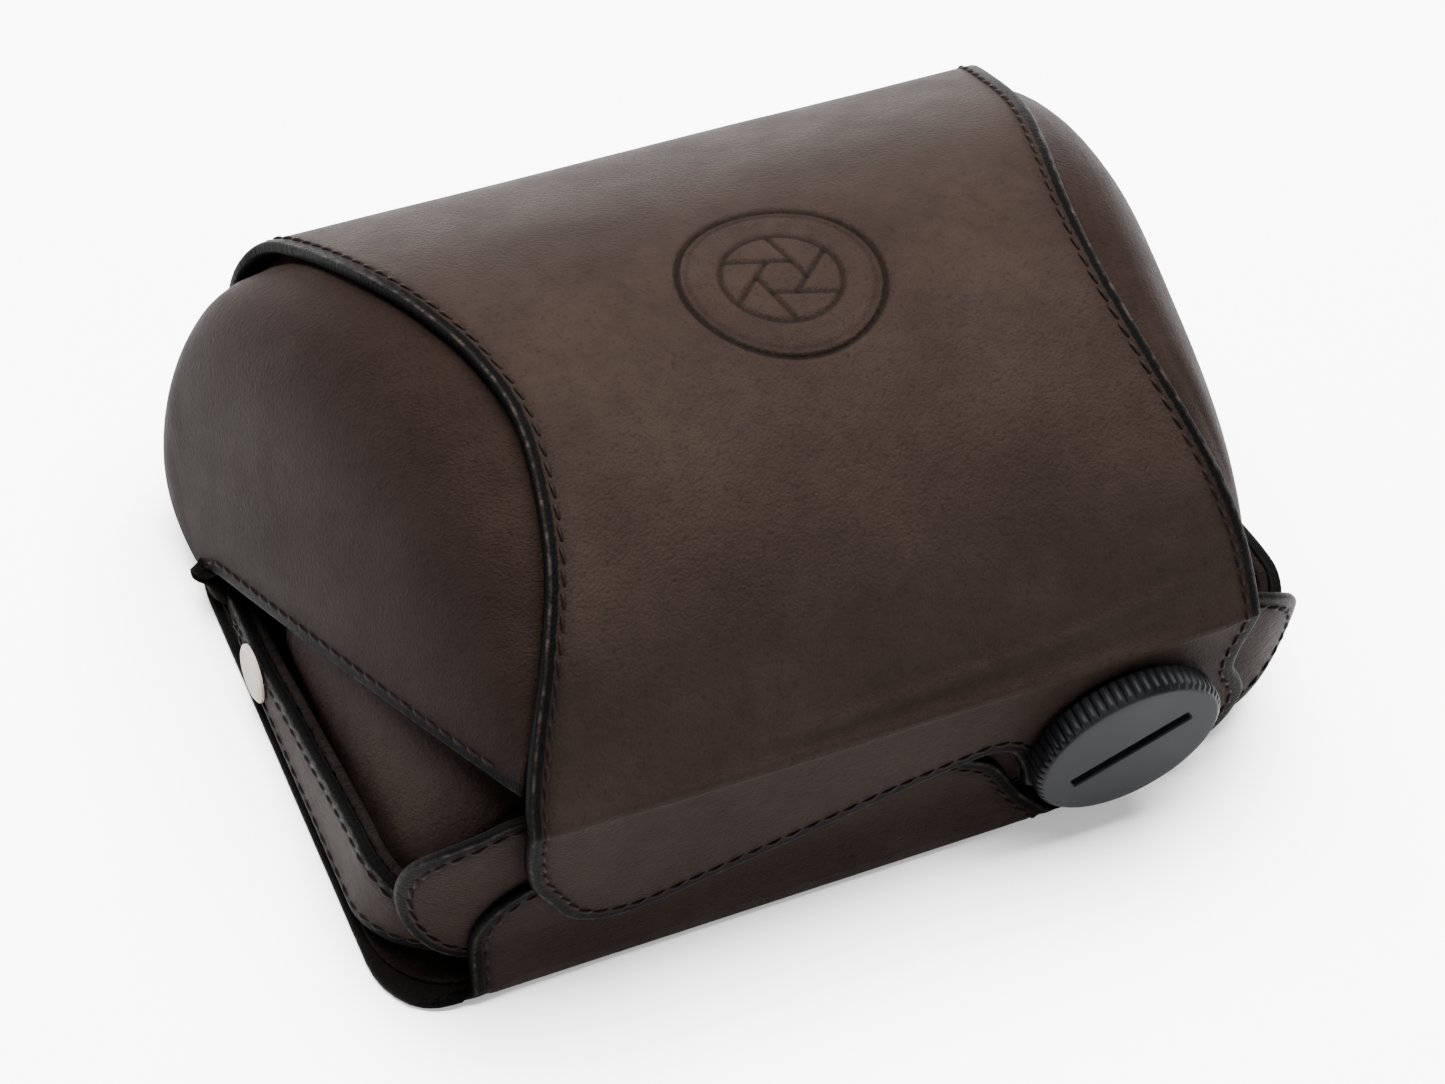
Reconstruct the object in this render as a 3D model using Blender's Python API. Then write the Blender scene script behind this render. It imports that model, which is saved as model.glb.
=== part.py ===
"""Leather ever-ready camera case, lying on its back, closed.

Axes: +X along the camera's width, -Y the camera's bottom (where the tripod screw is), +Z from the
table up to the nose.  The origin is the centre of the footprint, on the table.  Lengths below are in
millimetres and are turned into metres where the meshes are made.
"""
import math

import bmesh
import bpy
from mathutils import Vector

MM = 0.001
GAP = 0.3                    # clearance between touching pieces

# Driving dimensions
CASE_HALF_WIDTH = 76.0       # widest point of the nose cover's side gussets
WALL_X = 74.0                # outer face of the half case's end walls
BACK_X = 74.3                # side edge of the back panel
Y_BOTTOM = -52.4             # outer face of the front sheet's bottom flap
Y_TOP = 52.5                 # outer face of the nose cover's top
CREASE_Z = 39.0              # fold between the bottom flap and the front sheet
FRONT_Z = 38.4               # front of the half case
SHEET = 1.8                  # outer leather
FLAP = 1.6                   # bottom flaps
LINING = 0.8                 # suede
BACK_SHEET = 1.7             # back panel
LIP_Z = 3.0                  # underside of the nose cover's back lip
LIP_END_Y = 20.0             # free edge of that lip
CORNER_R = 13.0              # bottom corners of the half case, seen from the front
SCREW_X = 37.0               # tripod screw
SCREW_Z = 22.0
SCREW_FACE_Y = -57.5
KNOB_R = 15.0
KNOB_THICK = 4.0
KNURLS = 60
STUD_R = 3.0                 # 1/4-20 thread, drawn at about its pitch diameter
STUD_END_Y = -37.5
EYELET_R = 3.6
SNAP_X = 28.0                # snap fasteners between back panel and lip
SNAP_Y = 33.0
CENTRE_Y = -(SCREW_FACE_Y + Y_TOP) / 2   # moves the footprint's centre to the origin

# Pivots, in the same millimetres
FOLD = (0.0, Y_BOTTOM - 0.1, CREASE_Z)
SCREW_AXIS = (SCREW_X, SCREW_FACE_Y, SCREW_Z)
FIXED = (0.0, 0.0, 0.0)


def clear_scene():
    for item in list(bpy.data.objects):
        bpy.data.objects.remove(item, do_unlink=True)


def material(name, colour, roughness, metallic=0.0):
    made = bpy.data.materials.new(name)
    made.use_nodes = True
    shader = made.node_tree.nodes["Principled BSDF"]
    shader.inputs["Base Color"].default_value = (*colour, 1.0)
    shader.inputs["Roughness"].default_value = roughness
    shader.inputs["Metallic"].default_value = metallic
    made.diffuse_color = (*colour, 1.0)
    return made


def leather(name):
    return material(name, (0.050, 0.030, 0.024), 0.45)


def suede(name):
    return material(name, (0.016, 0.012, 0.010), 0.95)


def black_metal(name):
    return material(name, (0.030, 0.031, 0.034), 0.35, 0.9)


def bright_metal(name):
    return material(name, (0.60, 0.58, 0.54), 0.35, 1.0)


def add(name, verts, faces, mat, pivot=FIXED, smooth_angle=40.0):
    """One closed mesh object, with its origin at the pivot."""
    mesh = bpy.data.meshes.new(name)
    origin = Vector(pivot)
    mesh.from_pydata([(Vector(v) - origin) * MM for v in verts], [], faces)
    shaped = bmesh.new()
    shaped.from_mesh(mesh)
    bmesh.ops.recalc_face_normals(shaped, faces=shaped.faces)
    bmesh.ops.triangulate(shaped, faces=[f for f in shaped.faces if len(f.verts) > 4])
    shaped.to_mesh(mesh)
    shaped.free()
    mesh.materials.append(mat)
    mesh.shade_smooth()
    mesh.set_sharp_from_angle(angle=math.radians(smooth_angle))
    made = bpy.data.objects.new(name, mesh)
    made.location = (origin + Vector((0, CENTRE_Y, 0))) * MM
    bpy.context.scene.collection.objects.link(made)
    return made


# --- Curves -----------------------------------------------------------------------------------

def lerp(a, b, t):
    return a + (b - a) * t


def ramp(x, points):
    """Straight lines between (x, value) points, held flat beyond them."""
    if x <= points[0][0]:
        return points[0][1]
    for (x0, v0), (x1, v1) in zip(points, points[1:]):
        if x <= x1:
            return lerp(v0, v1, (x - x0) / (x1 - x0))
    return points[-1][1]


def spline(points, steps):
    """Catmull-Rom curve through the points, with the given number of steps between each pair."""
    pts = [Vector(p) for p in points]
    pts = [2 * pts[0] - pts[1]] + pts + [2 * pts[-1] - pts[-2]]
    out = []
    for i in range(1, len(pts) - 2):
        p0, p1, p2, p3 = pts[i - 1:i + 3]
        for k in range(steps):
            t = k / steps
            out.append(0.5 * (2 * p1 + (p2 - p0) * t + (2 * p0 - 5 * p1 + 4 * p2 - p3) * t * t
                              + (3 * p1 - p0 - 3 * p2 + p3) * t ** 3))
    out.append(pts[-2])
    return out


def along(points, t):
    """Point at the fraction t of a polyline's length."""
    lengths = [(b - a).length for a, b in zip(points, points[1:])]
    left = t * sum(lengths)
    for a, b, size in zip(points, points[1:], lengths):
        if left <= size and size > 0:
            return a.lerp(b, left / size)
        left -= size
    return points[-1].copy()


def rounded(corners, steps=5):
    """Closed outline from (a, b, radius) corners, each rounded by an arc."""
    out = []
    count = len(corners)
    for i, (x, y, radius) in enumerate(corners):
        here = Vector((x, y))
        back = (Vector(corners[i - 1][:2]) - here).normalized()
        ahead = (Vector(corners[(i + 1) % count][:2]) - here).normalized()
        half = back.angle(ahead) / 2
        start = here + back * (radius / math.tan(half))
        centre = here + (back + ahead).normalized() * (radius / math.sin(half))
        sweep = (here + ahead * (radius / math.tan(half)) - centre)
        first = start - centre
        turn = first.angle_signed(sweep)
        for k in range(steps + 1):
            a = -turn * k / steps
            out.append(centre + Vector((first.x * math.cos(a) - first.y * math.sin(a),
                                        first.x * math.sin(a) + first.y * math.cos(a))))
    return out


# --- Solids -----------------------------------------------------------------------------------

def grid_normals(grid, flip):
    rows, cols = len(grid), len(grid[0])
    out = []
    for i in range(rows):
        line = []
        for j in range(cols):
            du = grid[min(i + 1, rows - 1)][j] - grid[max(i - 1, 0)][j]
            dv = grid[i][min(j + 1, cols - 1)] - grid[i][max(j - 1, 0)]
            line.append(du.cross(dv).normalized() * (-1 if flip else 1))
        out.append(line)
    return out


def shell(name, grid, thickness, mat, flip=False, depth=0.0, pivot=FIXED):
    """A curved sheet: the grid is its reference face, depth further in its outer face."""
    rows, cols = len(grid), len(grid[0])
    normals = grid_normals(grid, flip)
    verts = []
    for offset in (depth, depth + thickness):
        for i in range(rows):
            for j in range(cols):
                verts.append(grid[i][j] - normals[i][j] * offset)
    layer = rows * cols

    def at(k, i, j):
        return k * layer + i * cols + j

    faces = []
    for i in range(rows - 1):
        for j in range(cols - 1):
            faces.append((at(0, i, j), at(0, i, j + 1), at(0, i + 1, j + 1), at(0, i + 1, j)))
            faces.append((at(1, i, j), at(1, i + 1, j), at(1, i + 1, j + 1), at(1, i, j + 1)))
    rim = [(0, j) for j in range(cols)] + [(i, cols - 1) for i in range(1, rows)]
    rim += [(rows - 1, j) for j in range(cols - 2, -1, -1)] + [(i, 0) for i in range(rows - 2, 0, -1)]
    for (i0, j0), (i1, j1) in zip(rim, rim[1:] + rim[:1]):
        faces.append((at(0, i0, j0), at(1, i0, j0), at(1, i1, j1), at(0, i1, j1)))
    return add(name, verts, faces, mat, pivot)


def plate(name, outline, low, high, mat, plane="XY", pivot=FIXED):
    """A flat sheet cut to an outline. Plane XY lies on the table, XZ stands at the case's bottom."""
    count = len(outline)
    verts = []
    for level in (low, high):
        for p in outline:
            verts.append((p[0], p[1], level) if plane == "XY" else (p[0], level, p[1]))
    faces = [tuple(range(count)), tuple(range(2 * count - 1, count - 1, -1))]
    for i in range(count):
        j = (i + 1) % count
        faces.append((i, j, count + j, count + i))
    return add(name, verts, faces, mat, pivot)


def turned(name, profile, mat, centre, axis="Y", sides=32, pivot=FIXED):
    """A ring or disc turned from a closed (radius, along) profile; radius 0 closes on the axis."""
    verts = []
    rings = []
    for radius, pos in profile:
        ring = []
        for k in range(1 if radius == 0 else sides):
            a = 2 * math.pi * k / sides
            ring.append(len(verts))
            across = (radius * math.cos(a), radius * math.sin(a))
            if axis == "Y":
                verts.append((centre[0] + across[0], pos, centre[2] + across[1]))
            elif axis == "Z":
                verts.append((centre[0] + across[0], centre[1] + across[1], pos))
            else:
                verts.append((pos, centre[1] + across[0], centre[2] + across[1]))
        rings.append(ring)
    faces = []
    pairs = list(zip(rings, rings[1:]))
    if len(rings[0]) > 1:
        pairs.append((rings[-1], rings[0]))
    for one, two in pairs:
        for k in range(sides):
            corners = [one[k % len(one)], one[(k + 1) % len(one)],
                       two[(k + 1) % len(two)], two[k % len(two)]]
            faces.append(tuple(dict.fromkeys(corners)))
    return add(name, verts, [f for f in faces if len(f) > 2], mat, pivot)


def cut(target, cutter):
    """Subtracts a guide solid, which stays in the file as a wire."""
    cutter.hide_render = True
    cutter.display_type = "WIRE"
    hole = target.modifiers.new("hole", "BOOLEAN")
    hole.operation = "DIFFERENCE"
    hole.solver = "EXACT"
    hole.object = cutter


def hole_guide(name, radius, low, high, centre, axis="Y", sides=24):
    guide = turned(name, [(0, low), (radius, low), (radius, high), (0, high)],
                   material(name, (1, 0, 0), 0.5), centre, axis, sides)
    guide.hide_render = True
    guide.display_type = "WIRE"
    return guide


# --- Nose cover -------------------------------------------------------------------------------

# Outer face of the front sheet seen from the side: half width, y and z, from the fold over the
# ridge and down the camera's top to the lip under its back.
FRONT_POINTS = [
    (56.8, Y_BOTTOM, CREASE_Z + 0.3), (56.7, Y_BOTTOM + 0.1, CREASE_Z + 1.7), (56.3, -49.7, 44.8),
    (54.5, -45.1, 52.9), (51.3, -38.5, 61.6), (47.1, -27.3, 69.6), (44.6, -11.0, 74.6),
    (45.8, 2.0, 74.4), (49.2, 15.2, 71.6), (53.0, 28.0, 66.1), (56.2, 42.0, 56.6), (58.6, 50.0, 49.2),
    (61.5, Y_TOP, 41.0),
]
TOP_POINTS = [
    (62.6, Y_TOP, 28.0), (63.0, Y_TOP, 12.0), (63.0, 50.0, 5.9), (63.0, 44.0, LIP_Z), (63.0, 32.0, LIP_Z),
    (63.0, LIP_END_Y, LIP_Z),
]
APEX = Vector((CASE_HALF_WIDTH, 27.0, 4.2))       # where the gusset's free edge turns to the back
MOUTH = Vector((56.7, -47.6, 44.0))               # where it starts, beside the fold
MOUTH_BOW = 5.0                                   # how far the free edge bows outwards
TOP_SHARE = 0.70                                  # part of the gusset in front of the top corner


def front_edge():
    return spline(FRONT_POINTS + TOP_POINTS, 3)


def front_grid(edge, trim=0.0, cols=4, first=0, last=None):
    rows = edge[first:last]
    across = [lerp(-1, 1, j / cols) for j in range(cols + 1)]
    return [[Vector((share * (p.x - trim), p.y, p.z)) for share in across] for p in rows]


def free_edge(t):
    """The gusset's edge from the fold to the apex and round to the lip, for the side +X."""
    if t <= TOP_SHARE:
        u = t / TOP_SHARE
        bow = Vector((0.33, -0.50, 0.80)) * (MOUTH_BOW * 4 * u * (1 - u))
        return MOUTH.lerp(APEX, u) + bow
    tail = spline([APEX, (75.4, 25.2, LIP_Z + 0.4), (71.0, 24.8, LIP_Z + 0.2), (68.2, 22.8, LIP_Z),
                   (66.0, LIP_END_Y + 1.0, LIP_Z)], 4)
    return along(tail, (t - TOP_SHARE) / (1 - TOP_SHARE))


def seam_edge(edge):
    """Where the gusset starts: under the front sheet's side edge, and beside it along the lip."""
    out = []
    for i, p in enumerate(edge):
        ahead = edge[min(i + 1, len(edge) - 1)] - edge[max(i - 1, 0)]
        inward = Vector((0, -ahead.z, ahead.y)).normalized()
        if inward.dot(Vector((0, -p.y, 30 - p.z))) < 0:
            inward = -inward
        sink = ramp(i / len(edge), [(0.80, SHEET + GAP), (0.88, 0.0)])
        out.append(Vector((p.x + ramp(sink, [(0, 0.5), (SHEET, 0.0)]), p.y, p.z)) + inward * sink)
    return out


def gusset_grid(side, rows=30, cols=7):
    edge = seam_edge(front_edge())
    start = edge[8:]                # the seam starts a little above the fold
    split = 26                      # steps from there to the top corner
    front, back = start[:split + 1], start[split:]
    grid = []
    for i in range(rows + 1):
        t = i / rows
        if t <= TOP_SHARE:
            a = along(front, t / TOP_SHARE)
        else:
            a = along(back, (t - TOP_SHARE) / (1 - TOP_SHARE))
        e = free_edge(t)
        drop = ramp(t, [(0, 0.10), (0.45, 0.15), (TOP_SHARE, 0.45), (0.85, 0.9), (1, 1)])
        reach = ramp(t, [(0, 0.1), (0.15, 0.5), (0.45, 0.42), (TOP_SHARE, 0.62), (0.85, 0.8), (1, 0.0)])
        wide = ramp(t, [(0, 0), (0.5, 66), (TOP_SHARE, 76), (0.9, 75), (1, 66)])
        corner = Vector((max(e.x, wide), a.y, lerp(a.z, e.z, drop)))
        near, far = a.lerp(corner, reach), e.lerp(corner, reach)
        line = []
        for j in range(cols + 1):
            v = j / cols
            p = a * (1 - v) ** 3 + near * 3 * v * (1 - v) ** 2 + far * 3 * v * v * (1 - v) + e * v ** 3
            line.append(Vector((side * p.x, p.y, p.z)))
        grid.append(line)
    return grid


def nose_cover():
    edge = front_edge()
    front = shell("nose_front", front_grid(edge), SHEET, leather("nose_front_leather"), True, 0, FOLD)
    shell("nose_lining", front_grid(edge, 5.0, 4, 8, 40), LINING, suede("nose_lining_suede"), True,
          SHEET + GAP, FOLD)
    for side, word in ((-1, "left"), (1, "right")):
        grid = gusset_grid(side)
        shell("nose_gusset_" + word, grid, SHEET, leather("gusset_leather_" + word), side > 0, 0, FOLD)
        shell("gusset_lining_" + word, [row[1:-1] for row in grid[4:20]], LINING,
              suede("gusset_suede_" + word), side > 0, SHEET + GAP, FOLD)
        spot = (side * SNAP_X, SNAP_Y, 0)
        inner = LIP_Z + SHEET + GAP
        head = [(0, 1.3), (1.9, 1.3), (1.9, inner), (4.5, inner), (4.2, inner + 0.8), (0, inner + 0.8)]
        turned("snap_stud_" + word, head, bright_metal("snap_stud_metal_" + word), spot, "Z", 20, FOLD)
        cut(front, hole_guide("lip_hole_" + word, 2.4, -1, 9, spot, "Z"))


# --- Back panel -------------------------------------------------------------------------------

def back_outline(inset=0.0):
    x = BACK_X - inset
    low = -53.2 + inset
    return rounded([
        (-x, low, 13), (46, low, 24), (x, -30, 10), (x, 27, 25), (69 - inset, 46 - inset, 9),
        (-69 + inset, 46 - inset, 9), (-x, 27, 25),
    ], 6)


def back_panel():
    panel = plate("back_panel", back_outline(), 0, BACK_SHEET, leather("back_leather"))
    lining = plate("back_panel_lining", back_outline(1.2), BACK_SHEET + GAP, LIP_Z - GAP,
                   suede("back_suede"))
    for side, word in ((-1, "left"), (1, "right")):
        spot = (side * SNAP_X, SNAP_Y, 0)
        guide = hole_guide("socket_hole_" + word, 5.8, -1, 4, spot, "Z")
        cut(panel, guide)
        cut(lining, guide)
        turned("snap_socket_" + word, [(0, 0), (5.4, 0), (5.4, 2.5), (3.0, 2.5), (3.0, 0.9), (0, 0.9)],
               bright_metal("snap_socket_metal_" + word), spot, "Z", 24)


def rear_bottom_flap():
    """Folds up from the back panel and tucks under the front sheet's flap."""
    rows = []
    for z in (3.0, 5.0, 7.5, 10.5, 13.5, 16.5, 19.5, 22.0, 24.0):
        left = -62.5 if z < 10 else -50.3 - math.sqrt(max(12.2 ** 2 - (z - 12.0) ** 2, 9.0))
        right = ramp(z, [(0, 30.3), (8.1, 24.6), (17.2, 19.2), (22.3, 11.6), (25, 4)])
        y = ramp(z, [(2, -52.7), (6, -52.0), (11, Y_BOTTOM + FLAP + GAP)])
        rows.append([Vector((lerp(left, right, j / 4), y, z)) for j in range(5)])
    shell("rear_bottom_flap", rows, 1.3, leather("rear_flap_leather"), True)


def front_bottom_flap():
    """The front sheet's flap over the case's bottom, with the rounded tab the screw clamps."""
    top = CREASE_Z - 0.2
    tab = []
    for degrees in range(216, 361, 12):
        angle = math.radians(degrees)
        right = degrees > 270
        across = (19.2 if right else -14.8) * abs(math.cos(angle)) ** 0.85
        tab.append((SCREW_X + 3.3 + across, 19.0 - 15.9 * abs(math.sin(angle)) ** 0.85))
    outline = [(-56.7, top), (-56.5, 33.5), (-55.3, 26.8), (-52.2, 20.6), (-49.2, 15.6), (-45.4, 12.7),
               (-40.8, 11.5), (-36.0, 11.7), (-28.0, 13.6), (-13.0, 17.3), (2.0, 21.2), (12.0, 23.3),
               (16.6, 23.8), (20.3, 21.6), (23.2, 15.5), (24.6, 11.0)]
    outline += tab
    outline += [(58.4, 23.0), (56.4, 27.0), (56.5, 33.5), (56.7, top)]
    flap = plate("front_bottom_flap", outline, Y_BOTTOM, Y_BOTTOM + FLAP,
                 leather("front_flap_leather"), "XZ")
    cut(flap, hole_guide("front_flap_hole", 4.6, -55, -49, SCREW_AXIS))


# --- Half case --------------------------------------------------------------------------------

WALL_Y = Y_BOTTOM + 5.1      # outer face of the end walls where they run under the bottom strip


def wall_point(s, side, outward=0.0):
    """Plan path of the end wall: down the side, round the corner, along the bottom.

    s is the length along it from the corner's start; negative s runs up the side.
    """
    cx, cy = WALL_X - CORNER_R, WALL_Y + CORNER_R
    radius = CORNER_R + outward
    if s < 0:
        y = cy - s
        lean = 1.4 * max(0.0, min(1.0, (y - 2) / 20)) ** 1.5
        return side * (cx + radius - lean), y
    a = s / CORNER_R
    if a <= math.pi / 2:
        return side * (cx + radius * math.cos(a)), cy - radius * math.sin(a)
    return side * (cx - (s - CORNER_R * math.pi / 2)), cy - radius


def end_wall_rows(side, low, high, outward=0.0, stations=None):
    rows = []
    for s in stations:
        x, y = wall_point(s, side, outward)
        rows.append([Vector((x, y, low(s))), Vector((x, y, (low(s) + high(s)) / 2)), Vector((x, y, high(s)))])
    return rows


def wall_low(s):
    return ramp(s, [(0, 3.0), (6, 5.0), (12, 6.2)])


def wall_high(s):
    return ramp(s, [(-58, 5.2), (-56, 6.0), (-47, 9.4), (-37, 12.6), (-4, 21.4), (1, 22.2), (6, 21.0),
                    (11, 18.0), (30, 17.0)])


def half_case():
    stations = [-57.5, -54, -46, -36, -24, -12, -4, 0, 3.4, 6.8, 10.2, 13.6, 17.0,
                CORNER_R * math.pi / 2, 28.0]
    for side, word in ((-1, "left"), (1, "right")):
        rows = end_wall_rows(side, wall_low, wall_high, 0, stations)
        shell("half_case_end_" + word, rows, SHEET, leather("end_leather_" + word), side > 0)
        inner = end_wall_rows(side, lambda s: wall_low(s) + 0.3, lambda s: wall_high(s) - 0.4,
                              -(SHEET + GAP), stations)
        shell("end_lining_" + word, inner, 1.0, suede("end_suede_" + word), side > 0)
        x0, y0 = wall_point(-39.6, side)
        face = abs(x0) + GAP
        turned("end_rivet_" + word, [(0, side * face), (4.5, side * face), (4.5, side * (face + 0.4)),
                                     (3.9, side * (face + 0.8)), (0, side * (face + 0.9))],
               bright_metal("end_rivet_metal_" + word), (0, y0, 8.0), "X", 24)
    strip = half_case_bottom()
    cut(strip, hole_guide("bottom_hole", 4.6, -52, -44, SCREW_AXIS))
    half_case_front()
    shape = rounded([(-52.5, 8, 6), (52.5, 8, 6), (52.5, 30, 6), (-52.5, 30, 6)], 4)
    fibre = material("stiffener_board", (0.10, 0.075, 0.055), 0.8)
    board = plate("bottom_stiffener", shape, -45.1, -43.6, fibre, "XZ")
    cut(board, hole_guide("board_hole", 4.6, -47, -41, SCREW_AXIS))
    shape = rounded([(-52, 7.5, 6), (52, 7.5, 6), (52, 30.5, 6), (-52, 30.5, 6)], 4)
    pad = plate("bottom_lining", shape, -43.3, -42.5, suede("bottom_suede"), "XZ")
    cut(pad, hole_guide("pad_hole", 6.4, -47, -41, SCREW_AXIS))


def half_case_bottom():
    """Bottom strip with half-round ends that wrap round the corners over the end walls."""
    outward = GAP + 1.3
    quarter = CORNER_R * math.pi / 2
    centre_run = WALL_X - CORNER_R              # half length of the flat stretch
    end, round_r, mid_z = 72.0, 17.0, 24.0
    cells = [math.cos(math.radians(a)) for a in (4, 18, 32, 46, 60, 75)]
    outer = [end - round_r + round_r * c for c in cells]
    runs = outer + [end - round_r, 36, 12]
    runs = runs + [-r for r in reversed(runs)]
    rows = []
    for run in runs:
        side = 1 if run > 0 else -1
        s = quarter - (abs(run) - centre_run)
        x, y = wall_point(s, side, outward)
        over = max(0.0, abs(run) - (end - round_r))
        half = math.sqrt(round_r ** 2 - over ** 2)
        rows.append([Vector((x, y, mid_z + half * k)) for k in (-1, -0.33, 0.33, 1)])
    return shell("half_case_bottom", rows, 1.3, leather("bottom_strip_leather"), True)


def front_section(inset_x, inset_z, count=9):
    """Cross section of the half case's front: flat in the middle, rounded down at both ends."""
    cx, cz, rx, rz = 47.0, 15.4, 22.3 - inset_x, FRONT_Z - 15.4 - inset_z
    side = []
    for k in range(count + 1):
        a = math.radians(lerp(-18, 90, k / count))
        side.append((cx + rx * math.cos(a), cz + rz * math.sin(a)))
    return side


def half_case_front():
    rows = []
    corner = CORNER_R - 3.5
    levels = [(WALL_Y + CORNER_R - corner * math.sin(math.radians(a)), 1 - math.cos(math.radians(a)))
              for a in (80, 60, 40, 20, 0)]
    levels += [(-20.0, 0.0), (-8.0, 0.0), (6.0, 0.0)]
    for y, share in levels:
        half = front_section(corner * share, 6.5 * share)
        right = [Vector((x, y, z)) for x, z in half]
        left = [Vector((-x, y, z)) for x, z in reversed(half)]
        rows.append(right + [Vector((20, y, half[-1][1])), Vector((-20, y, half[-1][1]))] + left)
    front = shell("half_case_front", rows, 1.5, leather("front_leather"), False)
    inner = shell("front_lining", rows[4:], LINING, suede("front_suede"), False, 1.5 + GAP)
    for made, word, extra in ((front, "front", 0.0), (inner, "lining", 0.8)):
        notch = rounded([(-31 - extra, 20, 1), (31 + extra, 20, 1), (31 + extra, -30 - extra, 27),
                         (-31 - extra, -30 - extra, 27)], 6)
        guide = plate("lens_notch_" + word, notch, 20, 50, material("guide_" + word, (1, 0, 0), 0.5))
        cut(made, guide)


# --- Tripod screw -----------------------------------------------------------------------------

def tripod_screw():
    seat = Y_BOTTOM - 0.1
    turned("screw_eyelet", [(EYELET_R, seat - 0.4), (6.8, seat - 0.4), (6.8, seat), (4.3, seat), (4.3, -43.2),
                            (5.6, -43.0), (5.6, -42.6), (EYELET_R, -42.6)],
           black_metal("eyelet_metal"), SCREW_AXIS, "Y", 24)
    turned("screw_washer", [(3.4, -53.35), (9.0, -53.35), (9.0, -53.1), (3.4, -53.1)],
           black_metal("washer_metal"), SCREW_AXIS, "Y", 28, SCREW_AXIS)
    knob()
    profile = [(0, -53.2), (STUD_R, -53.2)]
    pitch = 1.27
    y = -49.0
    profile.append((STUD_R, y))
    while y < STUD_END_Y - 2 * pitch:
        profile.append((STUD_R - 0.45, y + pitch / 2))
        profile.append((STUD_R, y + pitch))
        y += pitch
    profile += [(STUD_R - 0.6, STUD_END_Y), (0, STUD_END_Y)]
    turned("screw_stud", profile, bright_metal("stud_steel"), SCREW_AXIS, "Y", 16, SCREW_AXIS)
    turned("screw_retaining_ring", [(3.3, -39.9), (5.6, -39.9), (5.6, -39.2), (3.3, -39.2)],
           black_metal("ring_steel"), SCREW_AXIS, "Y", 20, SCREW_AXIS)


def knob():
    """Round knob with a straight knurl and a coin slot across its face."""
    face, back = SCREW_FACE_Y, SCREW_FACE_Y + KNOB_THICK
    loops = []
    levels = [(back, KNOB_R - 1.2, 0.0), (back - 0.5, KNOB_R - 0.45, 0.45),
              (face + 0.6, KNOB_R - 0.1, 0.5), (face, KNOB_R - 0.8, 0.0)]
    for y, base, depth in levels:
        ring = []
        for k in range(KNURLS * 2):
            a = math.pi * k / KNURLS
            radius = base + (depth * 0.2 if k % 2 == 0 else -depth)
            ring.append((SCREW_X + radius * math.cos(a), y, SCREW_Z + radius * math.sin(a)))
        loops.append(ring)
    verts = [v for ring in loops for v in ring]
    count = KNURLS * 2
    faces = [tuple(range(count)), tuple(range(len(verts) - 1, len(verts) - count - 1, -1))]
    for level in range(len(loops) - 1):
        for k in range(count):
            n = (k + 1) % count
            faces.append((level * count + k, level * count + n,
                          (level + 1) * count + n, (level + 1) * count + k))
    made = add("screw_knob", verts, faces, black_metal("knob_metal"), SCREW_AXIS, 25)
    half, width, tilt = 9.9, 1.2, math.radians(29)
    corners = [(-half, -width), (half, -width), (half, width), (-half, width)]
    slot = [(SCREW_X + x * math.cos(tilt) - z * math.sin(tilt),
             SCREW_Z + x * math.sin(tilt) + z * math.cos(tilt)) for x, z in corners]
    guide_colour = material("slot_guide", (1, 0, 0), 0.5)
    cut(made, plate("slot_guide", slot, face - 1, face + 1.6, guide_colour, "XZ"))
    cut(made, hole_guide("stud_seat", STUD_R + GAP, face + 2.2, back + 1, SCREW_AXIS, "Y", 16))


clear_scene()
back_panel()
rear_bottom_flap()
front_bottom_flap()
half_case()
tripod_screw()
nose_cover()
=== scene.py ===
"""Leather ever-ready camera case: leather, lining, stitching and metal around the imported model.

Each leather piece is cut from a flat pattern (u, v in millimetres), given its thickness and rounded
edge, and bent along the case.  Pattern coordinates and the distance from the cut edge are kept on
the mesh, so grain and edge paint follow the leather.
"""
import math

import bpy
import numpy as np
from mathutils import Matrix, Vector, noise
from mathutils.geometry import delaunay_2d_cdt


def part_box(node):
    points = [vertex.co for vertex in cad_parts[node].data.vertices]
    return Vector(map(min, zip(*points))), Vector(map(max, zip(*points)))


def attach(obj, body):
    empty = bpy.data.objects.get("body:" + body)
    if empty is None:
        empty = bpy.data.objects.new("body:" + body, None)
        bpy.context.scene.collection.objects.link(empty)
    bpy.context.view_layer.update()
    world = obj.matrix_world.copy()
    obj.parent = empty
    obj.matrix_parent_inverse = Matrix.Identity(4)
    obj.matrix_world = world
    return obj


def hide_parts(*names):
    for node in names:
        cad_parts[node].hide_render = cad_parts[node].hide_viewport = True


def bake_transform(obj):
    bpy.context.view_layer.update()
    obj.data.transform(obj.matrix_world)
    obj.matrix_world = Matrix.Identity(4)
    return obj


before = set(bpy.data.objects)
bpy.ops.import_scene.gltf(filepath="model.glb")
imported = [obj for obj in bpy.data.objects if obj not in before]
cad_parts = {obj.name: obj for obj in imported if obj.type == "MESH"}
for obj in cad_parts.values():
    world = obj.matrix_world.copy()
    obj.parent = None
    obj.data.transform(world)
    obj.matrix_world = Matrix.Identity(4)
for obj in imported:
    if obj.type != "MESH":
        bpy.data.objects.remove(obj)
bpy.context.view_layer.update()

MM = 0.001

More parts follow.
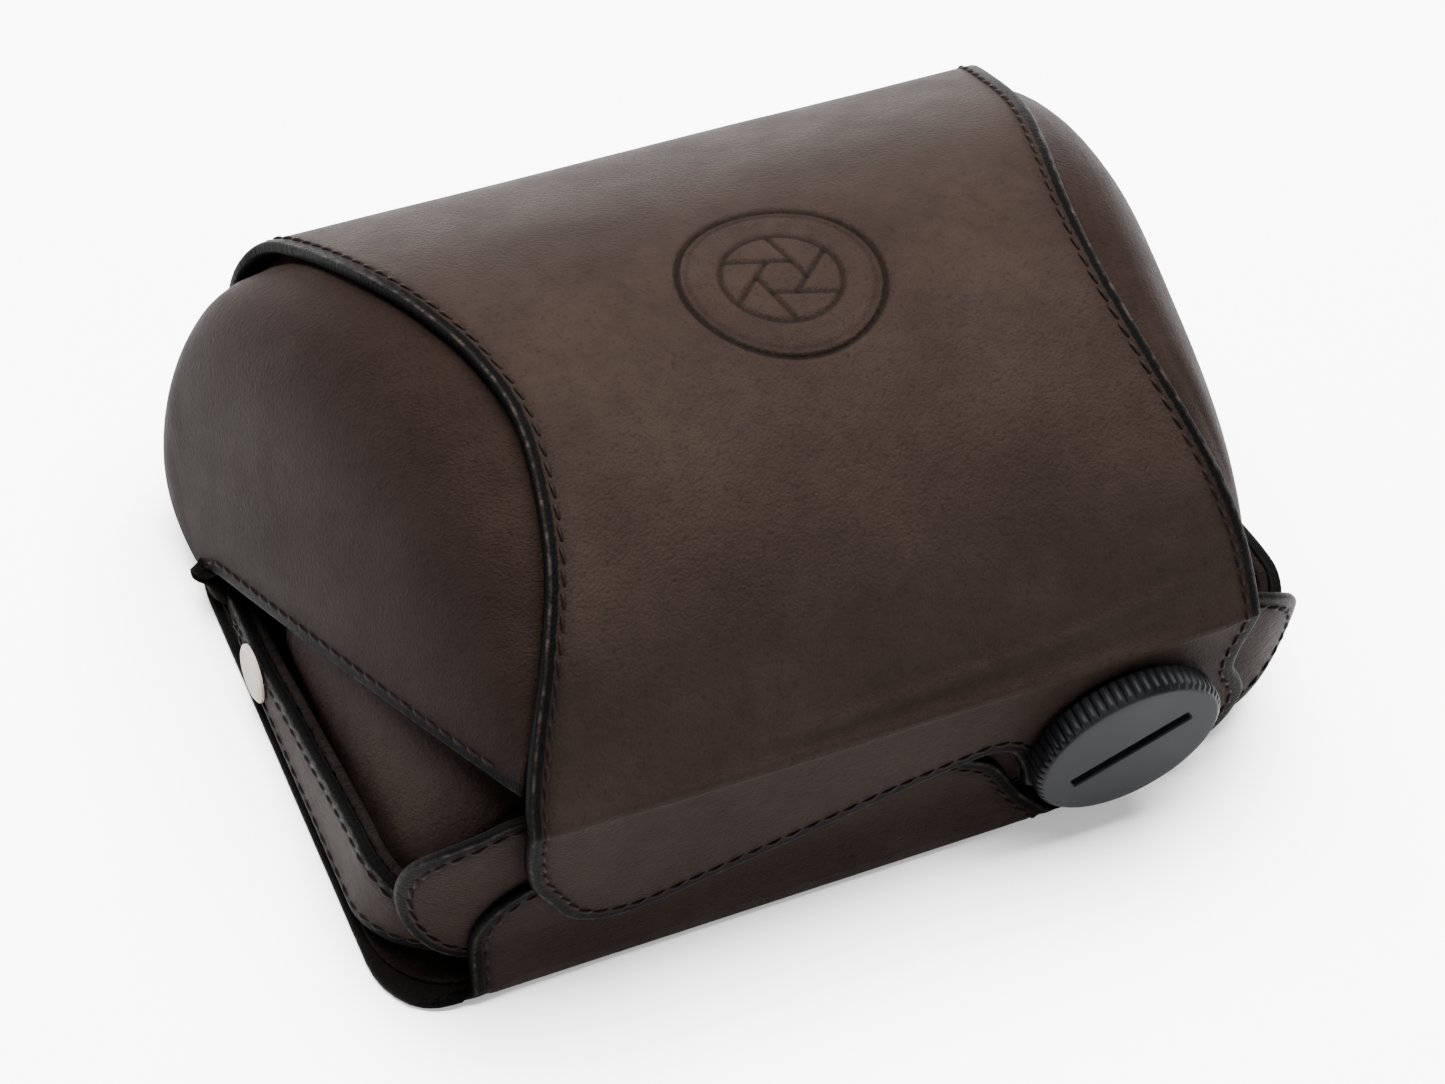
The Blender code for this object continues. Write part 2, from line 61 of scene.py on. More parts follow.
# Driving dimensions, as in the model, in millimetres
WALL_X = 74.0
BACK_X = 74.3
Y_BOTTOM = -52.4
Y_TOP = 52.5
CREASE_Z = 39.0
FRONT_Z = 38.4
SHEET = 1.8
LINING = 0.8
GAP = 0.3
LIP_Z = 3.0
LIP_END_Y = 20.0
CORNER_R = 13.0
SCREW_X, SCREW_Z = 37.0, 22.0
SCREW_FACE_Y = -57.5
KNOB_R = 15.0
KNOB_THICK = 4.0
KNURLS = 60
WALL_Y = Y_BOTTOM + 5.1
WALL_CY = WALL_Y + CORNER_R
QUARTER = CORNER_R * math.pi / 2
SNAP_X, SNAP_Y = 28.0, 33.0
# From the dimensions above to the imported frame
SHIFT = np.array((0.0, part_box("screw_knob")[0].y / MM - SCREW_FACE_Y, 0.0))

STITCH_INSET = 2.3
STITCH_PITCH = 3.0
STITCH_SHARE = 0.86  # visible thread per pitch
THREAD_R = 0.27
SNAP_HOLE_R = 5.8
SCREW_HOLE_R = 6.4
SLOT_TILT = math.radians(29)

# Rings of points inside a cut edge, by their distance from it
EDGE_RINGS = (0.06, 0.16, 0.32, 0.6, 1.0, 1.4, 1.75, 2.0, 2.3, 2.6, 2.85, 3.3, 4.2)
SUEDE_RINGS = (0.15, 0.4, 1.2)


# --- Curves ---

def spline(points, steps):
    """Catmull-Rom curve through the points."""
    pts = np.array(points, float)
    pts = np.vstack([2 * pts[0] - pts[1], pts, 2 * pts[-1] - pts[-2]])
    t = np.arange(steps)[:, None] / steps
    out = [0.5 * (2 * p1 + (p2 - p0) * t + (2 * p0 - 5 * p1 + 4 * p2 - p3) * t * t
                  + (3 * p1 - p0 - 3 * p2 + p3) * t ** 3)
           for p0, p1, p2, p3 in zip(pts, pts[1:], pts[2:], pts[3:])]
    return np.vstack(out + [pts[-2:-1]])


class Path:
    """A polyline read by its length; the length is measured on the given columns."""

    def __init__(self, points, columns=slice(None), zero=0.0):
        self.points = np.array(points, float)
        steps = np.linalg.norm(np.diff(self.points[:, columns], axis=0), axis=1)
        self.s = np.concatenate([[0.0], np.cumsum(steps)]) - zero

    def at(self, s):
        return np.stack([np.interp(s, self.s, column) for column in self.points.T], -1)


def columns(*parts):
    return np.stack(parts, -1)


def unit(vectors):
    size = np.linalg.norm(vectors, axis=-1, keepdims=True)
    return vectors / np.maximum(size, 1e-9)


def rounded(corners, steps=8):
    """Closed outline from (u, v, radius) corners, inward or outward, each rounded by an arc."""
    out = []
    count = len(corners)
    for i, (x, y, radius) in enumerate(corners):
        here = Vector((x, y))
        if radius <= 0:
            out.append(here)
            continue
        back = (Vector(corners[i - 1][:2]) - here).normalized()
        ahead = (Vector(corners[(i + 1) % count][:2]) - here).normalized()
        half = back.angle(ahead) / 2
        reach = radius / math.tan(half)
        centre = here + (back + ahead).normalized() * (radius / math.sin(half))
        first = here + back * reach - centre
        turn = first.angle_signed(here + ahead * reach - centre)
        for k in range(steps + 1):
            out.append(centre + Matrix.Rotation(-turn * k / steps, 2) @ first)
    return np.array(out)


def subdivided(outline, step):
    """Closed outline, anticlockwise, with no side longer than step."""
    outline = np.array(outline, float)
    ahead = np.roll(outline, -1, 0)
    if np.sum(outline[:, 0] * ahead[:, 1] - ahead[:, 0] * outline[:, 1]) < 0:
        outline = outline[::-1]
        ahead = np.roll(outline, -1, 0)
    out = []
    for a, b in zip(outline, ahead):
        size = np.linalg.norm(b - a)
        if size < 1e-4:
            continue
        count = max(1, math.ceil(size / step))
        out += [a + (b - a) * k / count for k in range(count)]
    return np.array(out)


def inset(outline, distance):
    """The points of a ring inside an outline, without those that crowd its corners."""
    ahead = unit(np.roll(outline, -1, 0) - outline)
    tangent = unit(ahead + np.roll(ahead, 1, 0))
    ring = outline + columns(-tangent[:, 1], tangent[:, 0]) * distance
    away, inside = edge_distance(ring, outline)
    return ring[inside & (away > distance * 0.97)]


def edge_distance(points, outline):
    """Distance of each point from the outline, and whether it is inside."""
    best = np.full(len(points), np.inf)
    inside = np.zeros(len(points), bool)
    px, py = points[:, 0], points[:, 1]
    for a, b in zip(outline, np.roll(outline, -1, 0)):
        dx, dy = b - a
        t = np.clip(((px - a[0]) * dx + (py - a[1]) * dy) / (dx * dx + dy * dy), 0, 1)
        best = np.minimum(best, (px - a[0] - t * dx) ** 2 + (py - a[1] - t * dy) ** 2)
        if dy:
            crosses = ((a[1] > py) != (b[1] > py)) & (px < a[0] + (py - a[1]) * dx / dy)
            inside ^= crosses
    return np.sqrt(best), inside


def bump(x, centre, width):
    return np.exp(-((x - centre) / width) ** 2)


def window(x, low, high, soft):
    """1 between low and high, fading to 0 over soft on each side."""
    rise = np.clip((x - low) / soft + 0.5, 0, 1)
    fall = np.clip((high - x) / soft + 0.5, 0, 1)
    return rise * rise * (3 - 2 * rise) * fall * fall * (3 - 2 * fall)


def waves(points, size, seed):
    """Smooth noise from -1 to 1 over pattern or space points in millimetres."""
    rows = np.pad(points, ((0, 0), (0, 3 - points.shape[1]))) / size + seed
    return np.array([noise.noise(Vector(row)) for row in rows])


# --- Meshes ---

def add(name, data):
    """A new object in the scene."""
    made = bpy.data.objects.new(name, data)
    bpy.context.scene.collection.objects.link(made)
    return made


def build(name, points, faces, mats, indices=None, body=None, slot="leather"):
    """A piece from points in millimetres and, where given, its body; the slot argument is not used."""
    mesh = bpy.data.meshes.new(name)
    mesh.from_pydata(((np.asarray(points) + SHIFT) * MM).tolist(), [], faces)
    for mat in mats:
        mesh.materials.append(mat)
    if indices is not None:
        mesh.polygons.foreach_set("material_index", indices)
    mesh.shade_smooth()
    made = add(name, mesh)
    if body:
        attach(made, body)
    return made


def store(obj, name, values):
    """Keep a number or a (u, v) pair per point; both faces of a piece carry the same."""
    values = np.concatenate([values, values]).astype(np.float32)
    kind, field = "FLOAT", "value"
    if values.ndim == 2:
        kind, field = "FLOAT_VECTOR", "vector"
        values = np.pad(values, ((0, 0), (0, 1)))
    obj.data.attributes.new(name, kind, "POINT").data.foreach_set(field, values.ravel())


def frame_at(place, u, v, flip=False):
    """Points of a bent pattern and their outward normals."""
    h = 0.05
    du = place(u + h, v) - place(u - h, v)
    dv = place(u, v + h) - place(u, v - h)
    return place(u, v), unit(np.cross(du, dv)) * (-1 if flip else 1)


def edge_depth(away, rounding=0.6, groove=0.16):
    """How far the rounded cut edge and the stitch groove lie under the surface."""
    short = np.clip(rounding - away, 0, rounding)
    return rounding - np.sqrt(rounding ** 2 - short ** 2) + groove * bump(away, STITCH_INSET, 0.5)


def under_depth(away, thick):
    """Depth of the underside, a little less right at the cut edge."""
    return thick - 0.3 * np.clip(1 - away / 0.32, 0, 1)


def lattice(outline, spacing):
    """Staggered points over an outline's box."""
    low, high = outline.min(0), outline.max(0)
    rows = np.arange(low[1], high[1], spacing * 0.87)
    out = []
    for k, v in enumerate(rows):
        us = np.arange(low[0] + (k % 2) * spacing / 2, high[0], spacing)
        out.append(columns(us, np.full(len(us), v)))
    return np.vstack(out)


def sheet(name, outline, place, thick, mats, body=None, spacing=2.4, flip=False, rounding=0.6,
          groove=0.16, relief=None, dense=None, slot="leather", rings=EDGE_RINGS, deboss_shade=None):
    """A flat pattern given thickness and a rounded cut edge, and bent by place(u, v)."""
    outline = subdivided(outline, 1.2)
    inner = lattice(outline, spacing)
    if dense is not None:
        extra, covered = dense
        inner = np.vstack([inner[~covered(inner)], extra])
    away, inside = edge_distance(inner, outline)
    inner = inner[inside & (away > rings[-1] + 0.3 * spacing)]
    points = np.vstack([outline] + [inset(outline, d) for d in rings] + [inner])
    count = len(outline)
    border = [(i, (i + 1) % count) for i in range(count)]
    flat, _, tris, *_ = delaunay_2d_cdt([Vector(p) for p in points], border, [list(range(count))], 1, 1e-5)
    flat = np.array(flat)
    away, _ = edge_distance(flat, outline)
    base, normal = frame_at(place, flat[:, 0], flat[:, 1], flip)
    depth = edge_depth(away, rounding, groove)
    if relief is not None:
        depth = depth - relief(flat)
    top = base - normal * depth[:, None]
    bottom = base - normal * under_depth(away, thick)[:, None]
    total = len(flat)
    faces = [tuple(tri[::-1] if flip else tri) for tri in tris]
    sides = [(a + total, c + total, b + total) for a, b, c in faces]
    edges = dict.fromkeys(e for a, b, c in faces for e in ((a, b), (b, c), (c, a)))
    walls = [(b, a, a + total, b + total) for a, b in edges if (b, a) not in edges]
    made = build(name, np.vstack([top, bottom]), faces + sides + walls, mats,
                 [0] * len(faces) + [min(1, len(mats) - 1)] * len(sides) + [0] * len(walls), body, slot)
    store(made, "edge", away)
    store(made, "flat", flat)
    # Where given, a per-point share of painted shade in recesses
    if deboss_shade is not None:
        store(made, "deboss_shade", deboss_shade(flat))
    return made


def suede_sheet(name, outline, place, thick, body, spacing, relief, flip=False, rings=SUEDE_RINGS):
    """A lining: no stitch groove and a barely rounded edge."""
    return sheet(name, outline, place, thick, [SUEDE], body, spacing, flip, 0.3, 0.0, relief,
                 slot="suede", rings=rings)


def cut_out(piece, rings, inverted=False):
    """Cut a piece with the closed form lofted through rings of points."""
    count = len(rings[0])
    last = (len(rings) - 1) * count
    ends = [tuple(range(count)), tuple(range(last, last + count))]
    faces = [ends[0], ends[1][::-1]] if inverted else [ends[0][::-1], ends[1]]
    for low in range(0, last, count):
        for i in range(count):
            a, b = low + i, low + (i + 1) % count
            faces.append((b, a, count + a, count + b) if inverted else (a, b, count + b, count + a))
    mesh = bpy.data.meshes.new("cutter")
    mesh.from_pydata(((np.array(rings).reshape(-1, 3) + SHIFT) * MM).tolist(), [], faces)
    cutter = add("cutter", mesh)
    cut = piece.modifiers.new("cut", "BOOLEAN")
    cut.operation = "DIFFERENCE"
    cut.solver = "EXACT"
    cut.object = cutter
    bpy.context.view_layer.update()
    result = bpy.data.meshes.new_from_object(piece.evaluated_get(bpy.context.evaluated_depsgraph_get()))
    piece.modifiers.remove(cut)
    piece.data = result
    bpy.data.objects.remove(cutter, do_unlink=True)


def circle(radius, steps=32):
    turns = [2 * math.pi * i / steps for i in range(steps)]
    return [(radius * math.cos(a), radius * math.sin(a)) for a in turns]


def runs_along(outline, keep=None, distance=STITCH_INSET):
    """Stretches of the stitch line inside an outline, where keep(u, v) holds."""
    ring = inset(subdivided(outline, 0.6), distance)
    if keep is not None:
        ring = ring[keep(ring[:, 0], ring[:, 1])]

    def jumps():
        return np.flatnonzero(np.linalg.norm(np.roll(ring, -1, 0) - ring, axis=1) > 2.5)

    if not len(jumps()):
        return [np.vstack([ring, ring[:1]])]
    ring = np.roll(ring, -(jumps()[0] + 1), 0)
    return [r for r in np.split(ring, jumps() + 1) if len(r) > 8]


class Stitching:
    """Thread laid in short slanted stitches; one object for all the runs on a piece."""
    SIDES = 6
    SLANT = math.radians(9.0)
    HEIGHTS = np.array((-0.42, -0.10, 0.03, 0.08, 0.03, -0.10, -0.42))[:, None]
    REACH = np.linspace(-0.5, 0.5, len(HEIGHTS))

    def __init__(self, name):
        self.name = name
        self.points = []
        self.faces = []

    def run(self, path, place):
        path = Path(path)
        count = max(1, int(round(path.s[-1] / STITCH_PITCH)))
        pitch = path.s[-1] / count
        cos, sin = math.cos(self.SLANT), math.sin(self.SLANT)
        for k in range(count):
            s = (k + 0.5) * pitch
            centre, along = path.at(s), path.at(s + 0.4) - path.at(s - 0.4)
            along = along / max(np.linalg.norm(along), 1e-9)
            along = np.array((along[0] * cos - along[1] * sin, along[0] * sin + along[1] * cos))
            flat = centre + (self.REACH * (pitch * STITCH_SHARE))[:, None] * along
            base, normal = frame_at(place, flat[:, 0], flat[:, 1])
            self.thread(base + normal * self.HEIGHTS, normal)

    def thread(self, spine, normal):
        start = len(self.points)
        tangent = unit(np.gradient(spine, axis=0))
        side = unit(np.cross(normal, tangent))
        up = np.cross(tangent, side)
        for p, a, b in zip(spine, side, up):
            for k in range(self.SIDES):
                turn = 2 * math.pi * k / self.SIDES
                self.points.append(p + (a * math.cos(turn) + b * math.sin(turn)) * THREAD_R)
        rings = len(spine)
        for i in range(rings - 1):
            for k in range(self.SIDES):
                n = (k + 1) % self.SIDES
                a, b = start + i * self.SIDES, start + (i + 1) * self.SIDES
                self.faces.append((a + k, a + n, b + n, b + k))
        last = start + (rings - 1) * self.SIDES
        self.faces.append(tuple(start + k for k in reversed(range(self.SIDES))))
        self.faces.append(tuple(last + k for k in range(self.SIDES)))

    def finish(self, body=None):
        return build(self.name, self.points, self.faces, [THREAD], None, body, "leather")


def sewn(name, outline, place, body=None, keeps=(None,), distance=STITCH_INSET):
    """Stitching along an outline."""
    seams = Stitching(name)
    for keep in keeps:
        for run in runs_along(outline, keep, distance):
            seams.run(run, place)
    return seams.finish(body)


# --- Materials ---

class Nodes:
    """Short calls for building one material's node tree."""

    def __init__(self, name):
        self.mat = bpy.data.materials.new(name)
        self.mat.use_nodes = True
        self.tree = self.mat.node_tree
        self.shader = self.tree.nodes["Principled BSDF"]

    def put(self, kind, inputs=(), **settings):
        node = self.tree.nodes.new(kind)
        for key, value in settings.items():
            setattr(node, key, value)
        for key, value in dict(inputs).items():
            if isinstance(value, bpy.types.NodeSocket):
                self.tree.links.new(value, node.inputs[key])
            else:
                node.inputs[key].default_value = value
        return node

    def attribute(self, name, output):
        return self.put("ShaderNodeAttribute", attribute_name=name).outputs[output]

    def place(self):
        return self.put("ShaderNodeTexCoord").outputs["Object"]

    def noise(self, vector, scale, detail=3.0, rough=0.55):
        return self.put("ShaderNodeTexNoise", {"Vector": vector, "Scale": scale, "Detail": detail,
                                               "Roughness": rough}).outputs["Fac"]

    def cells(self, vector, scale):
        return self.put("ShaderNodeTexVoronoi", {"Vector": vector, "Scale": scale}).outputs["Distance"]

    def span(self, value, low, high, out_low=0.0, out_high=1.0, smooth=True):
        return self.put("ShaderNodeMapRange", {"Value": value, "From Min": low, "From Max": high,
                                               "To Min": out_low, "To Max": out_high},
                        interpolation_type="SMOOTHSTEP" if smooth else "LINEAR").outputs["Result"]

    def math(self, operation, a, b=0.0):
        return self.put("ShaderNodeMath", {0: a, 1: b}, operation=operation).outputs[0]

    def blend(self, factor, a, b):
        colours = {k: (*c, 1.0) if isinstance(c, tuple) else c for k, c in ((6, a), (7, b))}
        return self.put("ShaderNodeMix", {0: factor, **colours}, data_type="RGBA").outputs[2]

    def height(self, value, distance, strength=1.0, normal=None):
        inputs = {"Height": value, "Distance": distance, "Strength": strength}
        if normal is not None:
            inputs["Normal"] = normal
        return self.put("ShaderNodeBump", inputs).outputs["Normal"]

    def wire(self, **links):
        for key, value in links.items():
            self.tree.links.new(value, self.shader.inputs[key.replace("_", " ")])

    def set(self, values):
        for key, value in values.items():
            self.shader.inputs[key].default_value = value
        return self.mat


# Base colours are dark: the view transform lifts them to the photo's brown
BROWN = (0.0088, 0.0057, 0.0046)
BROWN_LIGHT = (0.0138, 0.0094, 0.0074)
BROWN_DEEP = (0.0052, 0.0033, 0.0028)
EDGE_BLACK = (0.0010, 0.0009, 0.0009)
# Lighter brown for the arris of the cut edge: partly edge wear, partly a painted highlight
EDGE_WEAR_AND_HIGHLIGHT = (0.030, 0.024, 0.021)
PAPER = ((0.96, 0.96, 0.96), (0.98, 0.98, 0.98))


def leather(name, tone=1.0, gloss=0.50, edge_width=1.55, grain=1.0, warm=(1.0, 1.0, 1.0)):
    """Smooth dyed calf with fine pores, soft mottling, and a painted cut edge."""
    n = Nodes(name)
    flat = n.attribute("flat", "Vector")
    edge = n.attribute("edge", "Fac")
    base, light, deep = [tuple(c * tone * w for c, w in zip(colour, warm))
                         for colour in (BROWN, BROWN_LIGHT, BROWN_DEEP)]
    cloud = n.span(n.noise(flat, 0.05, 3.0), 0.20, 0.85)
    mottle = n.span(n.noise(flat, 0.35, 5.0, 0.62), 0.35, 0.72)
    pores = n.cells(flat, 2.2)
    speck = n.span(n.noise(flat, 1.9, 5.0, 0.75), 0.50, 0.70)
    colour = n.blend(cloud, base, light)
    colour = n.blend(n.math("MULTIPLY", mottle, 0.25), colour, deep)
    colour = n.blend(n.math("MULTIPLY", speck, 0.55), colour, light)
    colour = n.blend(n.span(pores, 0.62, 0.95, 0.0, 0.45), colour, deep)
    # Darker in the roundel's debossed lines, by their depth: painted shade in the recesses
    colour = n.blend(n.attribute("deboss_shade", "Fac"), colour, tuple(c * 0.35 for c in deep))
    ragged = n.math("ADD", edge, n.span(n.noise(flat, 0.8, 3.0), 0.3, 0.7, -0.12, 0.12, False))
    paint = n.span(ragged, edge_width - 0.14, edge_width + 0.22, 1.0, 0.0)
    near = n.span(edge, edge_width, edge_width + 3.2, 0.45, 0.0)
    colour = n.blend(near, colour, deep)
    colour = n.blend(paint, colour, EDGE_BLACK)
    # A lighter line along the rounded arris, broken by noise: partly edge wear, partly a painted highlight
    arris_wear_and_highlight = n.math("MULTIPLY", n.span(edge, 0.12, 0.42, 0.0, 1.0), n.span(edge, 0.42, 0.85, 1.0, 0.0))
    wear_and_highlight = n.math("MULTIPLY", arris_wear_and_highlight, n.span(n.noise(flat, 0.5, 4.0), 0.45, 0.65, 0.10, 0.50))
    colour = n.blend(wear_and_highlight, colour, EDGE_WEAR_AND_HIGHLIGHT)
    rough = n.span(n.noise(flat, 0.12, 4.0, 0.6), 0.3, 0.7, gloss - 0.02, gloss + 0.04)
    rough = n.math("ADD", rough, n.math("MULTIPLY", speck, 0.06))
    rough = n.math("SUBTRACT", rough, n.math("MULTIPLY", paint, gloss - 0.44))
    grains = n.math("MULTIPLY", n.noise(flat, 5.5, 5.0, 0.65), 0.6)
    skin = n.math("ADD", grains, n.math("MULTIPLY", pores, -0.5))
    normal = n.height(skin, 0.00024 * grain, 1.0)
    normal = n.height(n.noise(flat, 1.1, 5.0, 0.65), 0.0003 * grain, 0.5, normal)
    n.wire(Base_Color=colour, Roughness=rough, Normal=normal)
    return n.set({"Specular IOR Level": 0.009})


def suede(name, colour=(0.0060, 0.0045, 0.0038)):
    """Short-napped split leather."""
    n = Nodes(name)
    flat = n.attribute("flat", "Vector")
    nap = n.noise(flat, 2.6, 6.0, 0.8)
    swept = n.noise(flat, 0.12, 3.0)
    tone = n.blend(n.span(nap, 0.35, 0.68), tuple(c * 0.45 for c in colour), tuple(c * 1.9 for c in colour))
    tone = n.blend(n.span(swept, 0.4, 0.62, 0.0, 0.5), tone, tuple(c * 0.6 for c in colour))
    n.wire(Base_Color=tone, Normal=n.height(nap, 0.0008, 1.0))
    return n.set({"Roughness": 0.95, "Specular IOR Level": 0.02})


def cotton(name):
    """Waxed brown-black thread, twisted."""
    n = Nodes(name)
    place = n.place()
    ply = n.noise(place, 2600.0, 2.0)
    tone = n.blend(n.span(n.noise(place, 300.0), 0.3, 0.7),
                   (0.0028, 0.0017, 0.0014), (0.0062, 0.0034, 0.0027))
    tone = n.blend(n.span(ply, 0.35, 0.65, 0.0, 0.6), tone, (0.0014, 0.0010, 0.0009))
    n.wire(Base_Color=tone, Normal=n.height(ply, 0.00006, 0.8))
    return n.set({"Roughness": 0.6, "Specular IOR Level": 0.03})


def metal(name, colour, rough, metallic, wear, grain):
    """Turned or painted metal with fine tool marks and faint handling wear."""
    n = Nodes(name)
    place = n.place()
    marks = n.noise(place, grain, 5.0, 0.7)
    smear = n.noise(place, 90.0, 4.0, 0.6)
    tone = n.blend(n.span(smear, 0.35, 0.7), colour, tuple(min(1.0, c * (1 + wear) + 0.003) for c in colour))
    tone = n.blend(n.span(marks, 0.55, 0.8, 0.0, 0.35), tone, tuple(c * 0.7 for c in colour))
    n.wire(Base_Color=tone, Roughness=n.span(smear, 0.3, 0.7, rough - 0.04, rough + 0.08),
           Normal=n.height(marks, 0.00003, 0.35))
    return n.set({"Metallic": metallic, "Coat Weight": 0.0, "Coat Roughness": 0.15,
                  "Specular IOR Level": 0.02})


def board(name):
    """Grey-brown fibre board."""
    n = Nodes(name)
    place = n.place()
    fibre = n.noise(place, 700.0, 6.0, 0.75)
    tone = n.blend(n.span(fibre, 0.35, 0.65), (0.075, 0.055, 0.040), (0.14, 0.105, 0.075))
    n.wire(Base_Color=tone, Normal=n.height(fibre, 0.0001, 0.6))
    return n.set({"Roughness": 0.85})


LEATHER = leather("leather_cover", tone=0.86)
# The gussets' leather is much darker than the cover's: painted shade for the sides turned from the light
LEATHER_GUSSET_SHADED = leather("leather_gusset_shaded", tone=0.56, gloss=0.52, edge_width=1.9, grain=1.2,
                         warm=(1.06, 0.96, 0.95))
LEATHER_BODY = leather("leather_half_case", tone=0.80)
LEATHER_FRONT = leather("leather_case_front", tone=0.85, gloss=0.42, edge_width=1.4, grain=1.3,
                        warm=(1.0, 1.0, 1.05))
LEATHER_WALL = leather("leather_end_wall", tone=0.78, edge_width=2.1)
SUEDE = suede("suede_lining")
SUEDE_EDGE = suede("suede_back", (0.0050, 0.0040, 0.0036))
THREAD = cotton("thread")


# --- Nose cover: one sheet from the bottom flap over the ridge and round to the lip ---

FRONT_POINTS = [
    (56.8, Y_BOTTOM, CREASE_Z + 0.3), (56.7, Y_BOTTOM + 0.1, CREASE_Z + 1.7), (56.3, -49.7, 44.8),
    (54.5, -45.1, 52.9), (51.3, -38.5, 61.6), (47.1, -27.3, 69.6), (44.6, -11.0, 74.6),
    (45.8, 2.0, 74.4), (49.2, 15.2, 71.6), (53.0, 28.0, 66.1), (56.2, 42.0, 56.6), (58.6, 50.0, 49.2),
    (61.5, Y_TOP, 41.0), (62.6, Y_TOP, 28.0), (63.0, Y_TOP, 12.0), (63.0, 50.0, 5.9),
    (63.0, 44.0, LIP_Z), (63.0, 32.0, LIP_Z), (63.0, LIP_END_Y, LIP_Z),
]
FLAP_DROP = CREASE_Z - 2.0
front_curve = spline(FRONT_POINTS, 24)
flap_rows = np.array([(57.0, Y_BOTTOM, CREASE_Z - FLAP_DROP + k) for k in range(int(FLAP_DROP) + 1)])
COVER = Path(np.vstack([flap_rows, front_curve]), slice(1, 3), FLAP_DROP)
COVER_END = COVER.s[-1]
ROUNDEL = (0.3, 71.5)  # place on the pattern
ROUNDEL_R = 14.6
ROUNDEL_DEPTH = 0.66
LEAVES, LEAVES_R = 6, 8.6
FOLD_STRIP = np.array([(-54.0, -5.0), (54.0, 13.0)])


def place_cover(u, v):
    """Cover pattern to space: v runs along the path, 0 at the fold."""
    _, y, z = COVER.at(v).T
    return columns(u, y, z)


def cover_outline():
    """Flap with its tab round the screw, then the cover's sides up to the lip."""
    tab_x, tab_z = SCREW_X + 3.3, 19.0
    tab = []
    for degrees in range(216, 361, 12):
        a = math.radians(degrees)
        reach = 19.2 if degrees > 270 else 14.8
        tab.append((tab_x + reach * math.copysign(abs(math.cos(a)) ** 0.85, degrees - 270),
                    tab_z - 15.9 * abs(math.sin(a)) ** 0.85 - CREASE_Z))
    left = [(-56.6, 33.5), (-55.3, 26.8), (-52.2, 20.6), (-49.2, 15.6), (-45.4, 12.7), (-40.8, 11.5),
            (-36.0, 11.7), (-28.0, 13.6), (-13.0, 17.3), (2.0, 21.2), (12.0, 23.3), (16.6, 23.8),
            (20.3, 21.6), (23.2, 15.5), (24.6, 11.0)]
    right = [(58.0, 23.0), (55.9, 27.0), (55.7, 32.0), (56.5, 36.5)]
    left, right = ([(x, z - CREASE_Z) for x, z in side] for side in (left, right))
    flap = spline([(-56.8, 0.2)] + left + tab + right + [(56.8, 0.4)], 5)
    rising = np.linspace(1.5, COVER_END - 1.5, 110)
    half = COVER.at(rising)[:, 0]
    corner = [(61.5, COVER_END), (-61.5, COVER_END)]
    return np.vstack([flap, columns(half, rising), corner, columns(-half, rising)[::-1]])


def roundel_depth(flat):
    """Debossed ring and a six-leaf diaphragm."""
    x, y = flat[:, 0] - ROUNDEL[0], flat[:, 1] - ROUNDEL[1]
    radius = np.hypot(x, y)
    depth = 0.62 * bump(radius, ROUNDEL_R, 0.42) + 0.18 * bump(radius, ROUNDEL_R - 1.3, 0.35)
    depth += 0.46 * bump(radius, LEAVES_R, 0.36)
    for k in range(LEAVES):
        a = math.radians(360 // LEAVES * k + 12)
        ux, uy = math.cos(a), math.sin(a)
        across = x * ux + y * uy - 3.1
        ahead = -x * uy + y * ux
        leaf = window(ahead, -1.9, 7.8, 0.5) * (radius < LEAVES_R)
        depth += 0.44 * bump(across, 0.0, 0.34) * leaf
    return np.minimum(depth, ROUNDEL_DEPTH)


def cover_relief(flat):
    """Soft waves over the front, two pulled ridges above the fold, and the roundel."""
    u, v = flat.T
    soft = 0.22 * waves(flat, 42.0, 3.1) + 0.03 * waves(flat, 12.0, 7.7)
    soft *= window(v, 4, COVER_END - 40, 16) * window(np.abs(u), -1, 44, 12)
    sway = 0.8 * waves(flat * (1, 0), 22.0, 5.5)
    ridge = 0.55 * bump(v + sway, 5.6 + 0.0016 * (u + 10) ** 2 * (u > -10), 1.0) * window(u, -14, 44, 18)
    ridge += 0.36 * bump(v + 0.5 * sway, 1.2, 0.9) * window(u, -40, 48, 16)
    dip = 0.30 * bump(v + sway, 3.7, 1.3) * window(u, -25, 44, 20)
    return soft + ridge - dip - roundel_depth(flat)


def cover_dense():
    """Finer points on the roundel and along the fold, and where they take over."""
    points = []
    turn = np.linspace(0, 2 * math.pi, 260, endpoint=False)
    for away in (-1.9, -1.55, -1.3, -1.05, -0.7, -0.45, -0.25, 0, 0.25, 0.45, 0.75, 1.2):
        radius = ROUNDEL_R + away
        points.append(columns(ROUNDEL[0] + radius * np.cos(turn), ROUNDEL[1] + radius * np.sin(turn)))
    box = np.array([(-12.5, -12.5), (12.5, 12.5)]) + ROUNDEL
    for spacing, low, high in ((0.34, -1.0, LEAVES_R + 1.0), (1.0, LEAVES_R + 1.4, ROUNDEL_R - 2.2)):
        spots = lattice(box, spacing)
        radius = np.linalg.norm(spots - ROUNDEL, axis=1)
        points.append(spots[(radius > low) & (radius < high)])
    points.append(lattice(FOLD_STRIP, 0.95))

    def covered(p):
        near = np.linalg.norm(p - ROUNDEL, axis=1) < ROUNDEL_R + 1.9
        return near | ((np.abs(p[:, 0]) < 54.5) & (p[:, 1] > -5.5) & (p[:, 1] < 13.5))

    return np.vstack(points), covered


def bend_at_fold(piece):
    """Bakes the piece's transform into its mesh."""
    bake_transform(piece)


